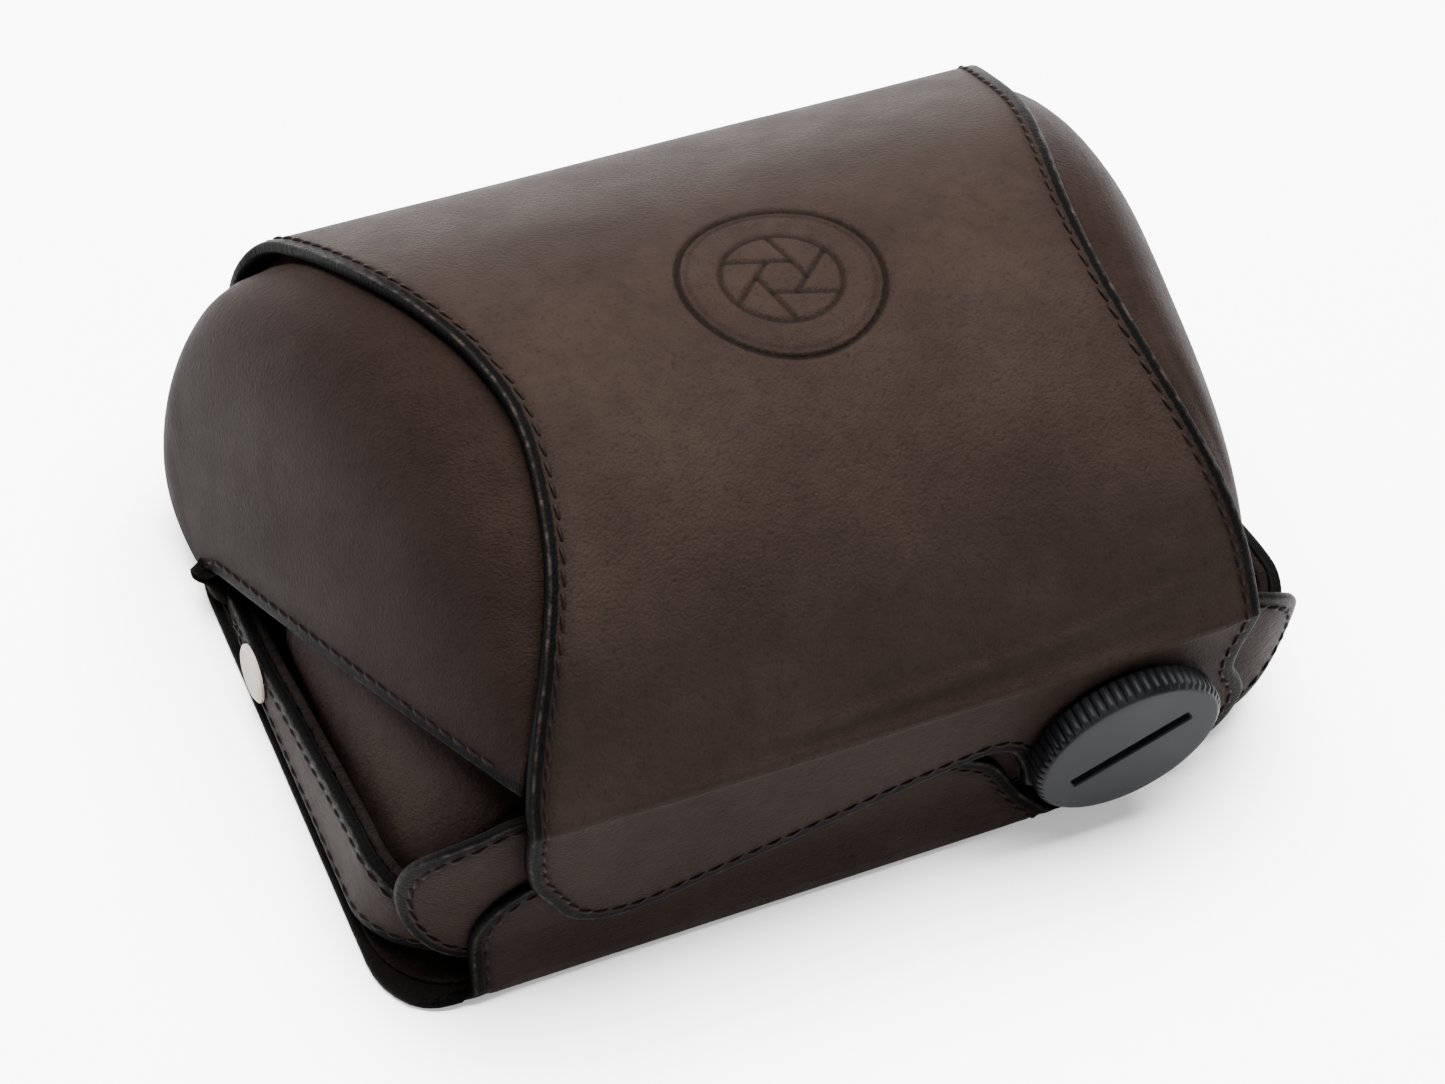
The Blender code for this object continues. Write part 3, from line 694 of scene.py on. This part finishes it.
def nose_cover():
    outline = cover_outline()
    # The roundel's depth also sets a painted shade in its debossed lines
    cover = sheet("cover_sheet", outline, place_cover, SHEET, [LEATHER, SUEDE_EDGE], spacing=2.2,
                  relief=cover_relief, dense=cover_dense(),
                  deboss_shade=lambda p: np.clip(roundel_depth(p) / 0.7, 0, 0.8))
    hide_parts("nose_front", "front_bottom_flap")
    bend_at_fold(cover)
    lip = COVER_END - 3.5
    bend_at_fold(sewn("cover_stitching", outline, place_cover,
                      keeps=(lambda u, v: v < lip, lambda u, v: v > lip)))

    def place_lining(u, v):
        base, normal = frame_at(place_cover, u, v)
        return base - normal * (SHEET + GAP)

    span = np.linspace(7.0, COVER_END - 30.0, 70)
    half = COVER.at(span)[:, 0] - 5.0
    trimmed = np.vstack([columns(half, span), columns(-half, span)[::-1]])
    lining = suede_sheet("cover_lining", trimmed, place_lining, LINING, "nose_cover", 3.2,
                         lambda p: 0.10 * waves(p, 1.7, 2.0))
    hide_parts("nose_lining")


# --- Side gussets ---

APEX = np.array((75.0, 27.4, 7.2))  # the free edge's tip, at the back
MOUTH = np.array((56.7, -47.6, 44.0))
MOUTH_BOW = 5.0
TOP_SHARE = 0.70  # share of the rows between mouth and apex
GUSSET_ROWS, GUSSET_COLUMNS = 110, 40
ROW_PITCH = 1.35
TUCK = 4.0  # how far the gusset runs in under the front sheet
GUSSET_RINGS = (0.0, 0.06, 0.16, 0.32, 0.6, 1.0, 1.4, 1.8, 2.05, 2.3, 2.55, 2.85, 3.3, 4.0)
SMOOTHINGS = 60


def seam_path():
    """The gusset starts under the front sheet's side edge, and beside it along the lip."""
    edge = spline(FRONT_POINTS, 3)
    ahead = np.roll(edge, -1, 0) - np.roll(edge, 1, 0)
    ahead[0], ahead[-1] = edge[1] - edge[0], edge[-1] - edge[-2]
    inward = unit(columns(0 * ahead[:, 0], -ahead[:, 2], ahead[:, 1]))
    centre = columns(0 * edge[:, 0], -edge[:, 1], 30 - edge[:, 2])
    inward *= np.sign(np.sum(inward * centre, -1))[:, None]
    sink = np.interp(np.arange(len(edge)) / len(edge), (0.80, 0.88), (SHEET + GAP, 0.0))
    beside = np.interp(sink, (0, SHEET), (0.5, 0.0))
    return edge + inward * sink[:, None] + columns(beside, 0 * beside, 0 * beside)


def gusset_surface():
    """Rows of points from the seam to the free edge, for the side +X."""
    seam = seam_path()
    front, back = Path(seam[8:35]), Path(seam[34:])  # over the ridge to the top; round to the lip
    tail = Path(spline([APEX, (74.7, 27.4, 6.3), (74.8, 26.2, 5.5), (74.9, 24.6, 5.0), (74.7, 23.0, 4.4),
                        (74.0, 21.7, 3.9), (72.0, 20.9, 3.2), (66.0, LIP_END_Y + 1.0, LIP_Z)], 8))
    fine = np.linspace(0, 1, 90)[:, None]
    rows = []
    for i in range(GUSSET_ROWS + 1):
        t = i / GUSSET_ROWS
        if t <= TOP_SHARE:
            u = t / TOP_SHARE
            a = front.at(u * front.s[-1])
            bow = np.array((0.33, -0.50, 0.80)) * (MOUTH_BOW * 4 * u * (1 - u))
            e = MOUTH + (APEX - MOUTH) * u + bow
        else:
            u = (t - TOP_SHARE) / (1 - TOP_SHARE)
            a, e = back.at(u * back.s[-1]), tail.at(u * tail.s[-1])
  # The drawn corner between seam and free edge: its height, its pull and its width
        drop = np.interp(t, (0, 0.45, TOP_SHARE, 0.85, 0.93, 1), (0.10, 0.15, 0.45, 0.9, 0, 0))
        reach = np.interp(t, (0, 0.15, 0.45, TOP_SHARE, 0.85, 1), (0.1, 0.5, 0.42, 0.62, 0.8, 0.0))
        wide = max(e[0], np.interp(t, (0, 0.5, TOP_SHARE, 0.99, 1), (0, 66, 75.8, 75.6, 66)))
        corner = np.array((wide, a[1], a[2] + (e[2] - a[2]) * drop))
        near, far = a + (corner - a) * reach, e + (corner - e) * reach
        tuck = np.linspace(-TUCK * np.interp(t, (0.78, 0.86), (1, 0.02)), 0, 8)[:-1, None]
        curve = (a * (1 - fine) ** 3 + near * 3 * fine * (1 - fine) ** 2
                 + far * 3 * fine ** 2 * (1 - fine) + e * fine ** 3)
        rows.append(np.vstack([a + tuck * (1.0, 0, 0), curve]))
    rows = np.array(rows)
    for _ in range(SMOOTHINGS):
        rows[1:-1, 1:-1] = 0.5 * rows[1:-1, 1:-1] + 0.25 * (rows[2:, 1:-1] + rows[:-2, 1:-1])
    return rows


def grid_normals(grid, outward):
    """Unit normals of a grid of points, on the outward side."""
    du = np.gradient(grid, axis=0)
    dv = np.gradient(grid, axis=1)
    normal = unit(np.cross(du, dv))
    return normal * (1 if np.sum(normal * outward) > 0 else -1)


def grid_shell(count, wide):
    """Quads over a grid of points, and the walls from its rim to a second grid that follows it."""
    layer, low = count * wide, (count - 1) * wide
    quads = [(i * wide + j, i * wide + j + 1, (i + 1) * wide + j + 1, (i + 1) * wide + j)
             for i in range(count - 1) for j in range(wide - 1)]
    rim = list(range(wide)) + [i * wide + wide - 1 for i in range(1, count)]
    rim += [low + j for j in range(wide - 2, -1, -1)] + [i * wide for i in range(count - 2, 0, -1)]
    return quads, [(b, a, a + layer, b + layer) for a, b in zip(rim, rim[1:] + rim[:1])]


def gusset_grid(surface):
    """The surface's rows read again from the free edge, closer together along the hem."""
    rows, away, lengths = [], [], []
    for line in surface:
        path = Path(line[::-1])
        total = path.s[-1]
        hem = np.array(GUSSET_RINGS) * min(1.0, total / 8.0)
        s = np.concatenate([hem, np.linspace(hem[-1], total, GUSSET_COLUMNS)[1:]])
        rows.append(path.at(s))
        away.append(s)
        lengths.append(total)
    return np.array(rows), np.array(away), np.array(lengths)[:, None]


def gusset_depth(grid, away, total, along, seed):
    """How far the leather lies under the drawn surface: rounded edge, groove, fullness and waves."""
    from_seam = total - away - TUCK
    share = along / (ROW_PITCH * GUSSET_ROWS)
    puff = 1.1 * np.clip(away / total, 0, 1) ** 0.6 * window(from_seam, 6, 400, 9) * window(away, 5, 400, 9)
    puff += 2.6 * window(share, 0.30, 0.82, 0.3) * bump(from_seam, 15, 13) * window(from_seam, 3, 400, 6)
    crease = 0.16 * bump(from_seam, 5.5, 1.1) * window(along, 14, 100, 14)
    wave = 0.22 * waves(grid.reshape(-1, 3), 24.0, seed).reshape(away.shape) * window(away, 6, 400, 6)
    return edge_depth(away) - puff * np.clip(total / 40, 0, 1) + crease - wave


def gusset(side, word, surface):
    """The stiff moulded side piece, with a hem along its free edge."""
    grid, away, total = gusset_grid(surface)
    normal = grid_normals(grid, np.array((1.0, 0.0, 0.3)))
    along = np.arange(GUSSET_ROWS + 1)[:, None] * ROW_PITCH + 0 * away
    flat = columns(away, along)
    depth = gusset_depth(grid, away, total, along, 4.0 + side)
    top = grid - normal * depth[..., None]
    bottom = grid - normal * under_depth(away, SHEET)[..., None]
    mirror = np.array((side, 1, 1))
    layer = away.size
    quads, walls = grid_shell(*away.shape)
    faces = quads + [(a + layer, d + layer, c + layer, b + layer) for a, b, c, d in quads] + walls
    if side < 0:
        faces = [face[::-1] for face in faces]
    points = np.concatenate([top.reshape(-1, 3), bottom.reshape(-1, 3)]) * mirror
    piece = build("gusset_" + word, points, faces, [LEATHER_GUSSET_SHADED, SUEDE_EDGE],
                  [0] * len(quads) + [1] * len(quads) + [0] * len(walls), "nose_cover")
    store(piece, "edge", away.ravel())
    store(piece, "flat", flat.reshape(-1, 2))
    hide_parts("nose_gusset_" + word)
    gusset_seam(word, grid, normal, away, mirror)

    inner = slice(int(len(grid) * 0.14), int(len(grid) * 0.64)), slice(10, -3)
    grid, normal, flat = grid[inner], normal[inner], flat[inner]
    upper = grid - normal * (SHEET + GAP)
    lower = grid - normal * (SHEET + GAP + LINING)
    fuzz = 0.12 * waves(lower.reshape(-1, 3), 1.6, 9.0).reshape(lower.shape[:2])
    lower = lower - normal * fuzz[..., None]
    lining = closed_grid("gusset_suede_" + word, upper * mirror, lower * mirror, side < 0, flat)
    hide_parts("gusset_lining_" + word)


def gusset_seam(word, grid, normal, away, mirror):
    """Stitches along the free edge's hem."""

    def on_seam(values):
        return np.array([[np.interp(STITCH_INSET, s, column) for column in row.T]
                         for s, row in zip(away, values)])

    line = Path(np.hstack([on_seam(grid), on_seam(normal)]), slice(0, 3))
    first, last = 5.0, line.s[-1] - 4.0
    reach = Stitching.REACH * STITCH_PITCH * STITCH_SHARE
    seams = Stitching("gusset_stitching_" + word)
    for k in range(int((last - first) / STITCH_PITCH)):
        found = line.at(first + (k + 0.5) * STITCH_PITCH + reach)
        base, outward = found[:, :3], unit(found[:, 3:])
        skew = np.cross(outward, unit(np.gradient(base, axis=0))) * (reach * 0.16)[:, None]
        seams.thread((base + skew + outward * Stitching.HEIGHTS) * mirror, outward * mirror)
    seams.finish("nose_cover")


def closed_grid(name, upper, lower, mirrored, flat):
    """A thin suede layer between two grids of points."""
    layer = upper.shape[0] * upper.shape[1]
    quads, walls = grid_shell(*upper.shape[:2])
    faces = quads + [tuple(v + layer for v in reversed(q)) for q in quads] + walls
    if mirrored:
        faces = [f[::-1] for f in faces]
    made = build(name, np.vstack([upper.reshape(-1, 3), lower.reshape(-1, 3)]), faces, [SUEDE], None,
                 "nose_cover", "suede")
    store(made, "flat", flat.reshape(-1, 2))
    return made


# --- Back panel and its bottom flap ---

BACK = Path([(60, 0), (-50.2, 0), (-51.2, 0.12), (-52.1, 0.5), (-52.7, 1.1), (-52.95, 1.9), (-52.95, 2.8),
             (-52.8, 3.8), (-52.45, 5.2), (-51.9, 6.8), (-51.2, 8.8), (-50.6, 10.6), (-50.5, 12.0),
             (-50.5, 30.0)], zero=60.0)


def up_flap(z):
    """Pattern length of a height on the rear bottom flap."""
    return float(np.interp(z, BACK.points[1:, 1], BACK.s[1:]))


def place_back(u, v):
    y, z = BACK.at(v).T
    return columns(u, y, z)


def back_panel():
    """The panel the case lies on, turned up into the rear bottom flap, and its lining."""
    foot = 53.2  # where the panel turns up into the flap
    top = up_flap(24.2)
    outline = rounded([
        (-69, -46, 9), (69, -46, 9), (BACK_X, -27, 25), (BACK_X, 30, 10), (46, foot, 20), (31, foot, 1.5),
        (24.6, up_flap(8.1), 20), (19.2, up_flap(17.2), 14), (11.6, up_flap(22.3), 6), (4, top, 6),
        (-62.5, top, 12), (-62.5, foot + 0.5, 1.5), (-BACK_X, foot, 12), (-BACK_X, -27, 25),
    ])
    panel = sheet("back_sheet", outline, place_back, 1.7, [LEATHER_BODY, SUEDE_EDGE], "half_case", 3.0,
                  relief=lambda p: 0.12 * waves(p, 30.0, 1.3) * (p[:, 1] > 56))
    drill_snaps(panel)
    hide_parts("back_panel", "rear_bottom_flap")
    sewn("back_stitching", outline, place_back, "half_case")

    x, low = BACK_X - 1.2, 52.0

    def place_inside(u, v):
        return columns(u, -v, 0 * u + 2.75)

    inner = rounded([(-67.8, -44.8, 9), (67.8, -44.8, 9), (x, -27, 25), (x, 30, 10), (46, low - 1.7, 22),
                     (-x, low - 1.7, 12), (-x, -27, 25)])
    lining = suede_sheet("back_suede", inner, place_inside, 0.85, "half_case", 2.6,
                         lambda p: 0.10 * waves(p, 1.7, 5.0), flip=True)
    drill_snaps(lining)
    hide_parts("back_panel_lining")


def drill_snaps(piece):
    """Round holes for the snap studs, through a sheet lying on the table."""
    for x in (-SNAP_X, SNAP_X):
        cut_out(piece, [[(x + a, SNAP_Y + b, z) for a, b in circle(SNAP_HOLE_R)] for z in (-3.0, 5.0)])


# --- Half case ---

def place_strip(u, v):
    """Bottom strip: straight along the bottom, then round the corners."""
    over = np.clip(np.abs(u) - (WALL_X - CORNER_R), 0, None) / CORNER_R
    radius = CORNER_R + GAP + 1.3
    x = np.minimum(np.abs(u), WALL_X - CORNER_R) + radius * np.sin(over)
    return columns(np.sign(u) * x, WALL_CY - radius * np.cos(over), v)


def wall_place(side, outward):
    """End wall: u along the wall from its far end, v up."""

    def place(u, v):
        s = side * -u if side > 0 else u
        y_side = WALL_CY - np.minimum(s, 0)
        lean = 1.4 * np.clip((y_side - 2) / 20, 0, 1) ** 1.5
        a = np.clip(s, 0, QUARTER) / CORNER_R
        radius = CORNER_R + outward
        x = WALL_X - CORNER_R + radius * np.cos(a) - lean - np.clip(s - QUARTER, 0, None)
        y = np.where(s < 0, y_side, WALL_CY - radius * np.sin(a))
        return columns(side * x, y, v)

    return place


def wall_low(s):
    return np.interp(s, (0, 6, 12), (3.0, 5.0, 6.2))


def wall_high(s):
    return np.interp(s, (-58, -56, -47, -37, -4, 1, 6, 11, 30),
                     (5.2, 6.0, 9.4, 12.6, 21.4, 22.2, 21.0, 18.0, 17.0))


def wall_outline(side, trim_low=0.0, trim_high=0.0):
    """End wall's pattern: s runs from the far end (negative) round the bottom corner."""
    s = np.linspace(-57.5, 28.0, 70)
    high = wall_high(s) - trim_high
    for _ in range(3):
        high[1:-1] = (high[:-2] + high[1:-1] + high[2:]) / 3
    low = wall_low(s) + trim_low
    u = -side * s if side > 0 else s
    return np.vstack([columns(u, low), columns(u, high)[::-1]])


def end_fuzz(p):
    return 0.42 * waves(p, 0.8, 6.0) + 0.15 * waves(p, 3.0, 2.0)


def end_walls():
    """Stitched end walls and the suede inside them."""
    for side, word in ((-1, "left"), (1, "right")):
        outline = wall_outline(side)
        place = wall_place(side, 0.0)
        wall = sheet("end_wall_" + word, outline, place, SHEET, [LEATHER_WALL, SUEDE_EDGE], "half_case", 2.4,
                     rounding=0.8, groove=0.10)
        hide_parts("half_case_end_" + word)
        sewn("end_stitching_" + word, outline, place, "half_case",
             [lambda u, v: (np.abs(u) < 56) | (u * side < 0)], 2.2)
        inner = wall_place(side, -(SHEET + GAP))
        lining = suede_sheet("end_suede_" + word, wall_outline(side, 0.3, 0.1), inner, 1.5, "half_case", 0.8,
                             end_fuzz, rings=(0.3, 0.7))
        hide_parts("end_lining_" + word)


def bottom_strip():
    """The strip along the bottom, with a rounded tab round each corner."""
    mid_z, half_z, corner, left, right = 22.3, 17.4, 17.3, -72.4, 70.4
    outline = rounded([(right, mid_z - half_z, corner), (right, mid_z + half_z, corner),
                       (left, mid_z + half_z, corner), (left, mid_z - half_z, corner)], 20)
    strip = sheet("bottom_strip", outline, place_strip, 1.3, [LEATHER_BODY, SUEDE_EDGE], "half_case", 2.8)
    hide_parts("half_case_bottom")
    sewn("bottom_stitching", outline, place_strip, "half_case")


ARC_SPAN = math.radians(108)
ARC_LENGTH = 43.0
FRONT_TURN = math.radians(80)  # how far the front turns down over the bottom
FRONT_SIDE_X, FRONT_SIDE_Z, FRONT_RX = 47.0, 15.4, 22.3
FRONT_CORNER = CORNER_R - 3.5


def front_place(depth):
    """Half-case front: flat, rounded down at both ends and at the camera's bottom."""

    def place(u, v):
        a = np.clip((WALL_CY - v) / FRONT_CORNER, 0, FRONT_TURN)
        y = np.where(v < WALL_CY, WALL_CY - FRONT_CORNER * np.sin(a), v)
        share = 1 - np.cos(a)
        rx = FRONT_RX - FRONT_CORNER * share - depth
        rz = FRONT_Z - FRONT_SIDE_Z - 6.5 * share - depth
        turn = ARC_SPAN * np.clip(np.abs(u) - FRONT_SIDE_X, 0, None) / ARC_LENGTH
        x = np.minimum(np.abs(u), FRONT_SIDE_X) + rx * np.sin(turn)
        return columns(np.sign(u) * x, y, FRONT_SIDE_Z + rz * np.cos(turn))

    return place


def case_front():
    """The front and its lining, with the notch for the lens."""
    end = FRONT_SIDE_X + ARC_LENGTH
    foot = WALL_CY - FRONT_CORNER * FRONT_TURN
    for name, slot, depth, thick, wider, low, mats, rounding, groove, node in (
            ("case_front", "leather", 0.0, 1.5, 0.0, foot, [LEATHER_FRONT, SUEDE_EDGE], 0.5, 0.12,
             "half_case_front"),
            ("front_suede", "suede", 1.5 + GAP, LINING, 0.8, WALL_CY, [SUEDE], 0.3, 0.0, "front_lining")):
        notch_x, notch_y = 31 + wider, -30 - wider
        outline = rounded([(-end, low, 2), (end, low, 2), (end, 6, 2), (notch_x, 6, 3),
                           (notch_x, notch_y, 27), (-notch_x, notch_y, 27), (-notch_x, 6, 3), (-end, 6, 2)])
        front = sheet(name, outline, front_place(depth), thick, mats, "half_case", 2.6, slot=slot,
                      groove=groove, rounding=rounding, relief=lambda p: 0.18 * waves(p, 20.0, 2.2))
        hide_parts(node)


def bottom_pad():
    """Suede pad inside the bottom, over the stiffener, with a hole for the screw."""
    outline = rounded([(-52, 7.5, 6), (52, 7.5, 6), (52, 30.5, 6), (-52, 30.5, 6)])

    def place(u, v):
        return columns(u, 0 * u - 42.5, v)

    pad = suede_sheet("bottom_suede", outline, place, LINING, "half_case", 2.2,
                      lambda p: 0.08 * waves(p, 1.5, 3.0) - 0.05, flip=True)
    hole = circle(SCREW_HOLE_R)
    cut_out(pad, [[(SCREW_X + a, y, SCREW_Z + b) for a, b in hole] for y in (-45.0, -40.0)], inverted=True)
    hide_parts("bottom_lining")


# --- Tripod screw ---

def knob():
    """Round knob: rounded straight knurls, chamfered rim and a coin slot."""
    per_knurl, knurl_depth = 8, 0.62
    around = KNURLS * per_knurl
    face, back = SCREW_FACE_Y, SCREW_FACE_Y + KNOB_THICK
    skirt = back + 0.7
    levels = [  # y, radius, share of the knurls' depth
        (back, 9.6, 0.0), (skirt - 0.1, 9.8, 0.0), (skirt, 10.1, 0.0), (skirt, KNOB_R - 1.2, 0.0),
        (skirt - 0.25, KNOB_R - 0.75, 0.4), (skirt - 0.6, KNOB_R - 0.2, 0.9),
        (skirt - 1.0, KNOB_R - 0.05, 1.0), (face + 1.1, KNOB_R - 0.05, 1.0),
        (face + 0.75, KNOB_R - 0.12, 1.0), (face + 0.5, KNOB_R - 0.35, 0.7),
        (face + 0.3, KNOB_R - 0.62, 0.3), (face + 0.12, KNOB_R - 0.85, 0.0),
        (face + 0.02, KNOB_R - 1.05, 0.0), (face, KNOB_R - 1.3, 0.0), (face, KNOB_R - 3.0, 0.0),
    ]
    first_rim, last_rim = 3, 10
    k = np.arange(around)
    angle = 2 * math.pi * k / around
    tooth = np.abs(np.cos(math.pi * k / per_knurl)) ** 0.7
    points = []
    for y, radius, share in levels:
        ring = radius - share * knurl_depth * (1 - tooth)
        points.append(np.stack([SCREW_X + ring * np.cos(angle), np.full(around, y),
                                SCREW_Z + ring * np.sin(angle)], -1))
    faces, indices = [], []
    for i in range(len(levels) - 1):
        low, high = i * around, (i + 1) * around
        faces += [(low + j, low + (j + 1) % around, high + (j + 1) % around, high + j) for j in range(around)]
        indices += [1 if first_rim <= i <= last_rim else 0] * around
    faces += [tuple(range(around))[::-1], tuple(range(high, high + around))]
    indices += [0, 0]
    face_paint = metal("knob_face", (0.0042, 0.0045, 0.0052), 0.5, 0.0, 0.25, 1400.0)
    rim_paint = metal("knob_rim", (0.0022, 0.0022, 0.0026), 0.34, 0.0, 0.2, 1000.0)
    made = build("knob", np.vstack(points), faces, [face_paint, rim_paint], indices, None, "black_metal")
    cut_out(made, coin_slot(face), inverted=True)
    made.data.set_sharp_from_angle(angle=math.radians(38))
    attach(made, "tripod_screw")
    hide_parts("screw_knob")


def coin_slot(face):
    """Rings of the slot's cutter, from in front of the face down to the slot's floor."""
    half_length, half_width, corner, chamfer, steps = 9.9, 1.2, 0.5, 0.22, 24
    cos, sin = math.cos(SLOT_TILT), math.sin(SLOT_TILT)
    rings = []
    for y, grow in ((face - 0.5, chamfer + 0.5), (face + chamfer, 0.0), (face + 1.6, 0.0)):
        ring = []
        for a in range(steps):
            turn = 2 * math.pi * (a + 0.5) / steps
            x = math.copysign(half_length - corner, math.cos(turn)) + (corner + grow) * math.cos(turn)
            z = math.copysign(half_width - corner, math.sin(turn)) + (corner + grow) * math.sin(turn)
            ring.append((SCREW_X + x * cos - z * sin, y, SCREW_Z + x * sin + z * cos))
        rings.append(ring)
    return rings


def finish_cad_nodes():
    """Materials for the CAD nodes that stay as they are."""
    black = metal("blackened_brass", (0.022, 0.022, 0.024), 0.38, 0.6, 0.3, 1200.0)
    steel = metal("turned_steel", (0.50, 0.48, 0.46), 0.32, 1.0, 0.15, 1500.0)
    nickel = metal("dull_nickel", (0.58, 0.55, 0.50), 0.34, 1.0, 0.2, 1100.0)
    rivet = metal("rivet_cap", (0.20, 0.175, 0.15), 0.5, 0.0, 0.3, 700.0)
    fibre = board("stiffener_board")
    nodes = {"screw_eyelet": black, "screw_washer": black, "screw_retaining_ring": black,
             "screw_stud": steel, "bottom_stiffener": fibre}
    for word in ("left", "right"):
        nodes.update({"snap_stud_" + word: nickel, "snap_socket_" + word: nickel, "end_rivet_" + word: rivet})
    for name, mat in nodes.items():
        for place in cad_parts[name].material_slots:
            place.material = mat


# --- Stage, light and camera ---

def stage():
    """Plain pale floor."""
    n = Nodes("paper_floor")
    place = n.place()
    tone = n.blend(n.span(n.noise(place, 3.0), 0.3, 0.7), *PAPER)
    n.wire(Base_Color=tone)
    n.set({"Roughness": 0.9, "Specular IOR Level": 0.1})
    mesh = bpy.data.meshes.new("floor")
    mesh.from_pydata([(x, y, 0) for x, y in ((-4, -4), (4, -4), (4, 4), (-4, 4))], [], [(0, 1, 2, 3)])
    mesh.materials.append(n.mat)
    floor = add("floor", mesh)
    floor.location.z = -0.0002  # just clear of the back panel


def area(name, place, aim, size, power):
    """Soft rectangular light, turned to its aim."""
    light = bpy.data.lights.new(name, "AREA")
    light.shape = "RECTANGLE"
    light.size, light.size_y = size
    light.energy = power
    made = add(name, light)
    made.location = place
    made.rotation_euler = (Vector(aim) - Vector(place)).to_track_quat("-Z", "Y").to_euler()


def light_and_camera():
    world = bpy.data.worlds.new("studio")
    world.use_nodes = True
    sky = world.node_tree.nodes["Background"].inputs
    sky["Color"].default_value = (1.0, 1.0, 1.0, 1.0)
    sky["Strength"].default_value = 0.30
    bpy.context.scene.world = world
    area("overhead_softbox", (0.05, 0.28, 1.0), (0, 0.0, 0.03), (1.1, 0.8), 135)
    area("left_softbox", (-1.0, 0.10, 0.50), (0, 0, 0.04), (0.7, 0.6), 4)
    area("front_fill", (0.35, -0.95, 0.70), (0, 0, 0.03), (0.8, 0.5), 10)
    lens = bpy.data.cameras.new("camera")
    lens.lens = 94.67  # solved from the photo, as are the axes and the place
    lens.sensor_width = 36.0
    lens.clip_start = 0.02
    camera = add("camera", lens)
    axes = Matrix(((0.90678, -0.40312, 0.12346), (0.26272, 0.76931, 0.58236), (-0.32974, -0.49563, 0.80350)))
    camera.matrix_world = Matrix.Translation((-0.19048, -0.28097, 0.47489)) @ axes.transposed().to_4x4()
    bpy.context.scene.camera = camera


nose_cover()
moulded = gusset_surface()
gusset(-1, "left", moulded)
gusset(1, "right", moulded)
back_panel()
end_walls()
bottom_strip()
case_front()
bottom_pad()
knob()
finish_cad_nodes()
stage()
light_and_camera()
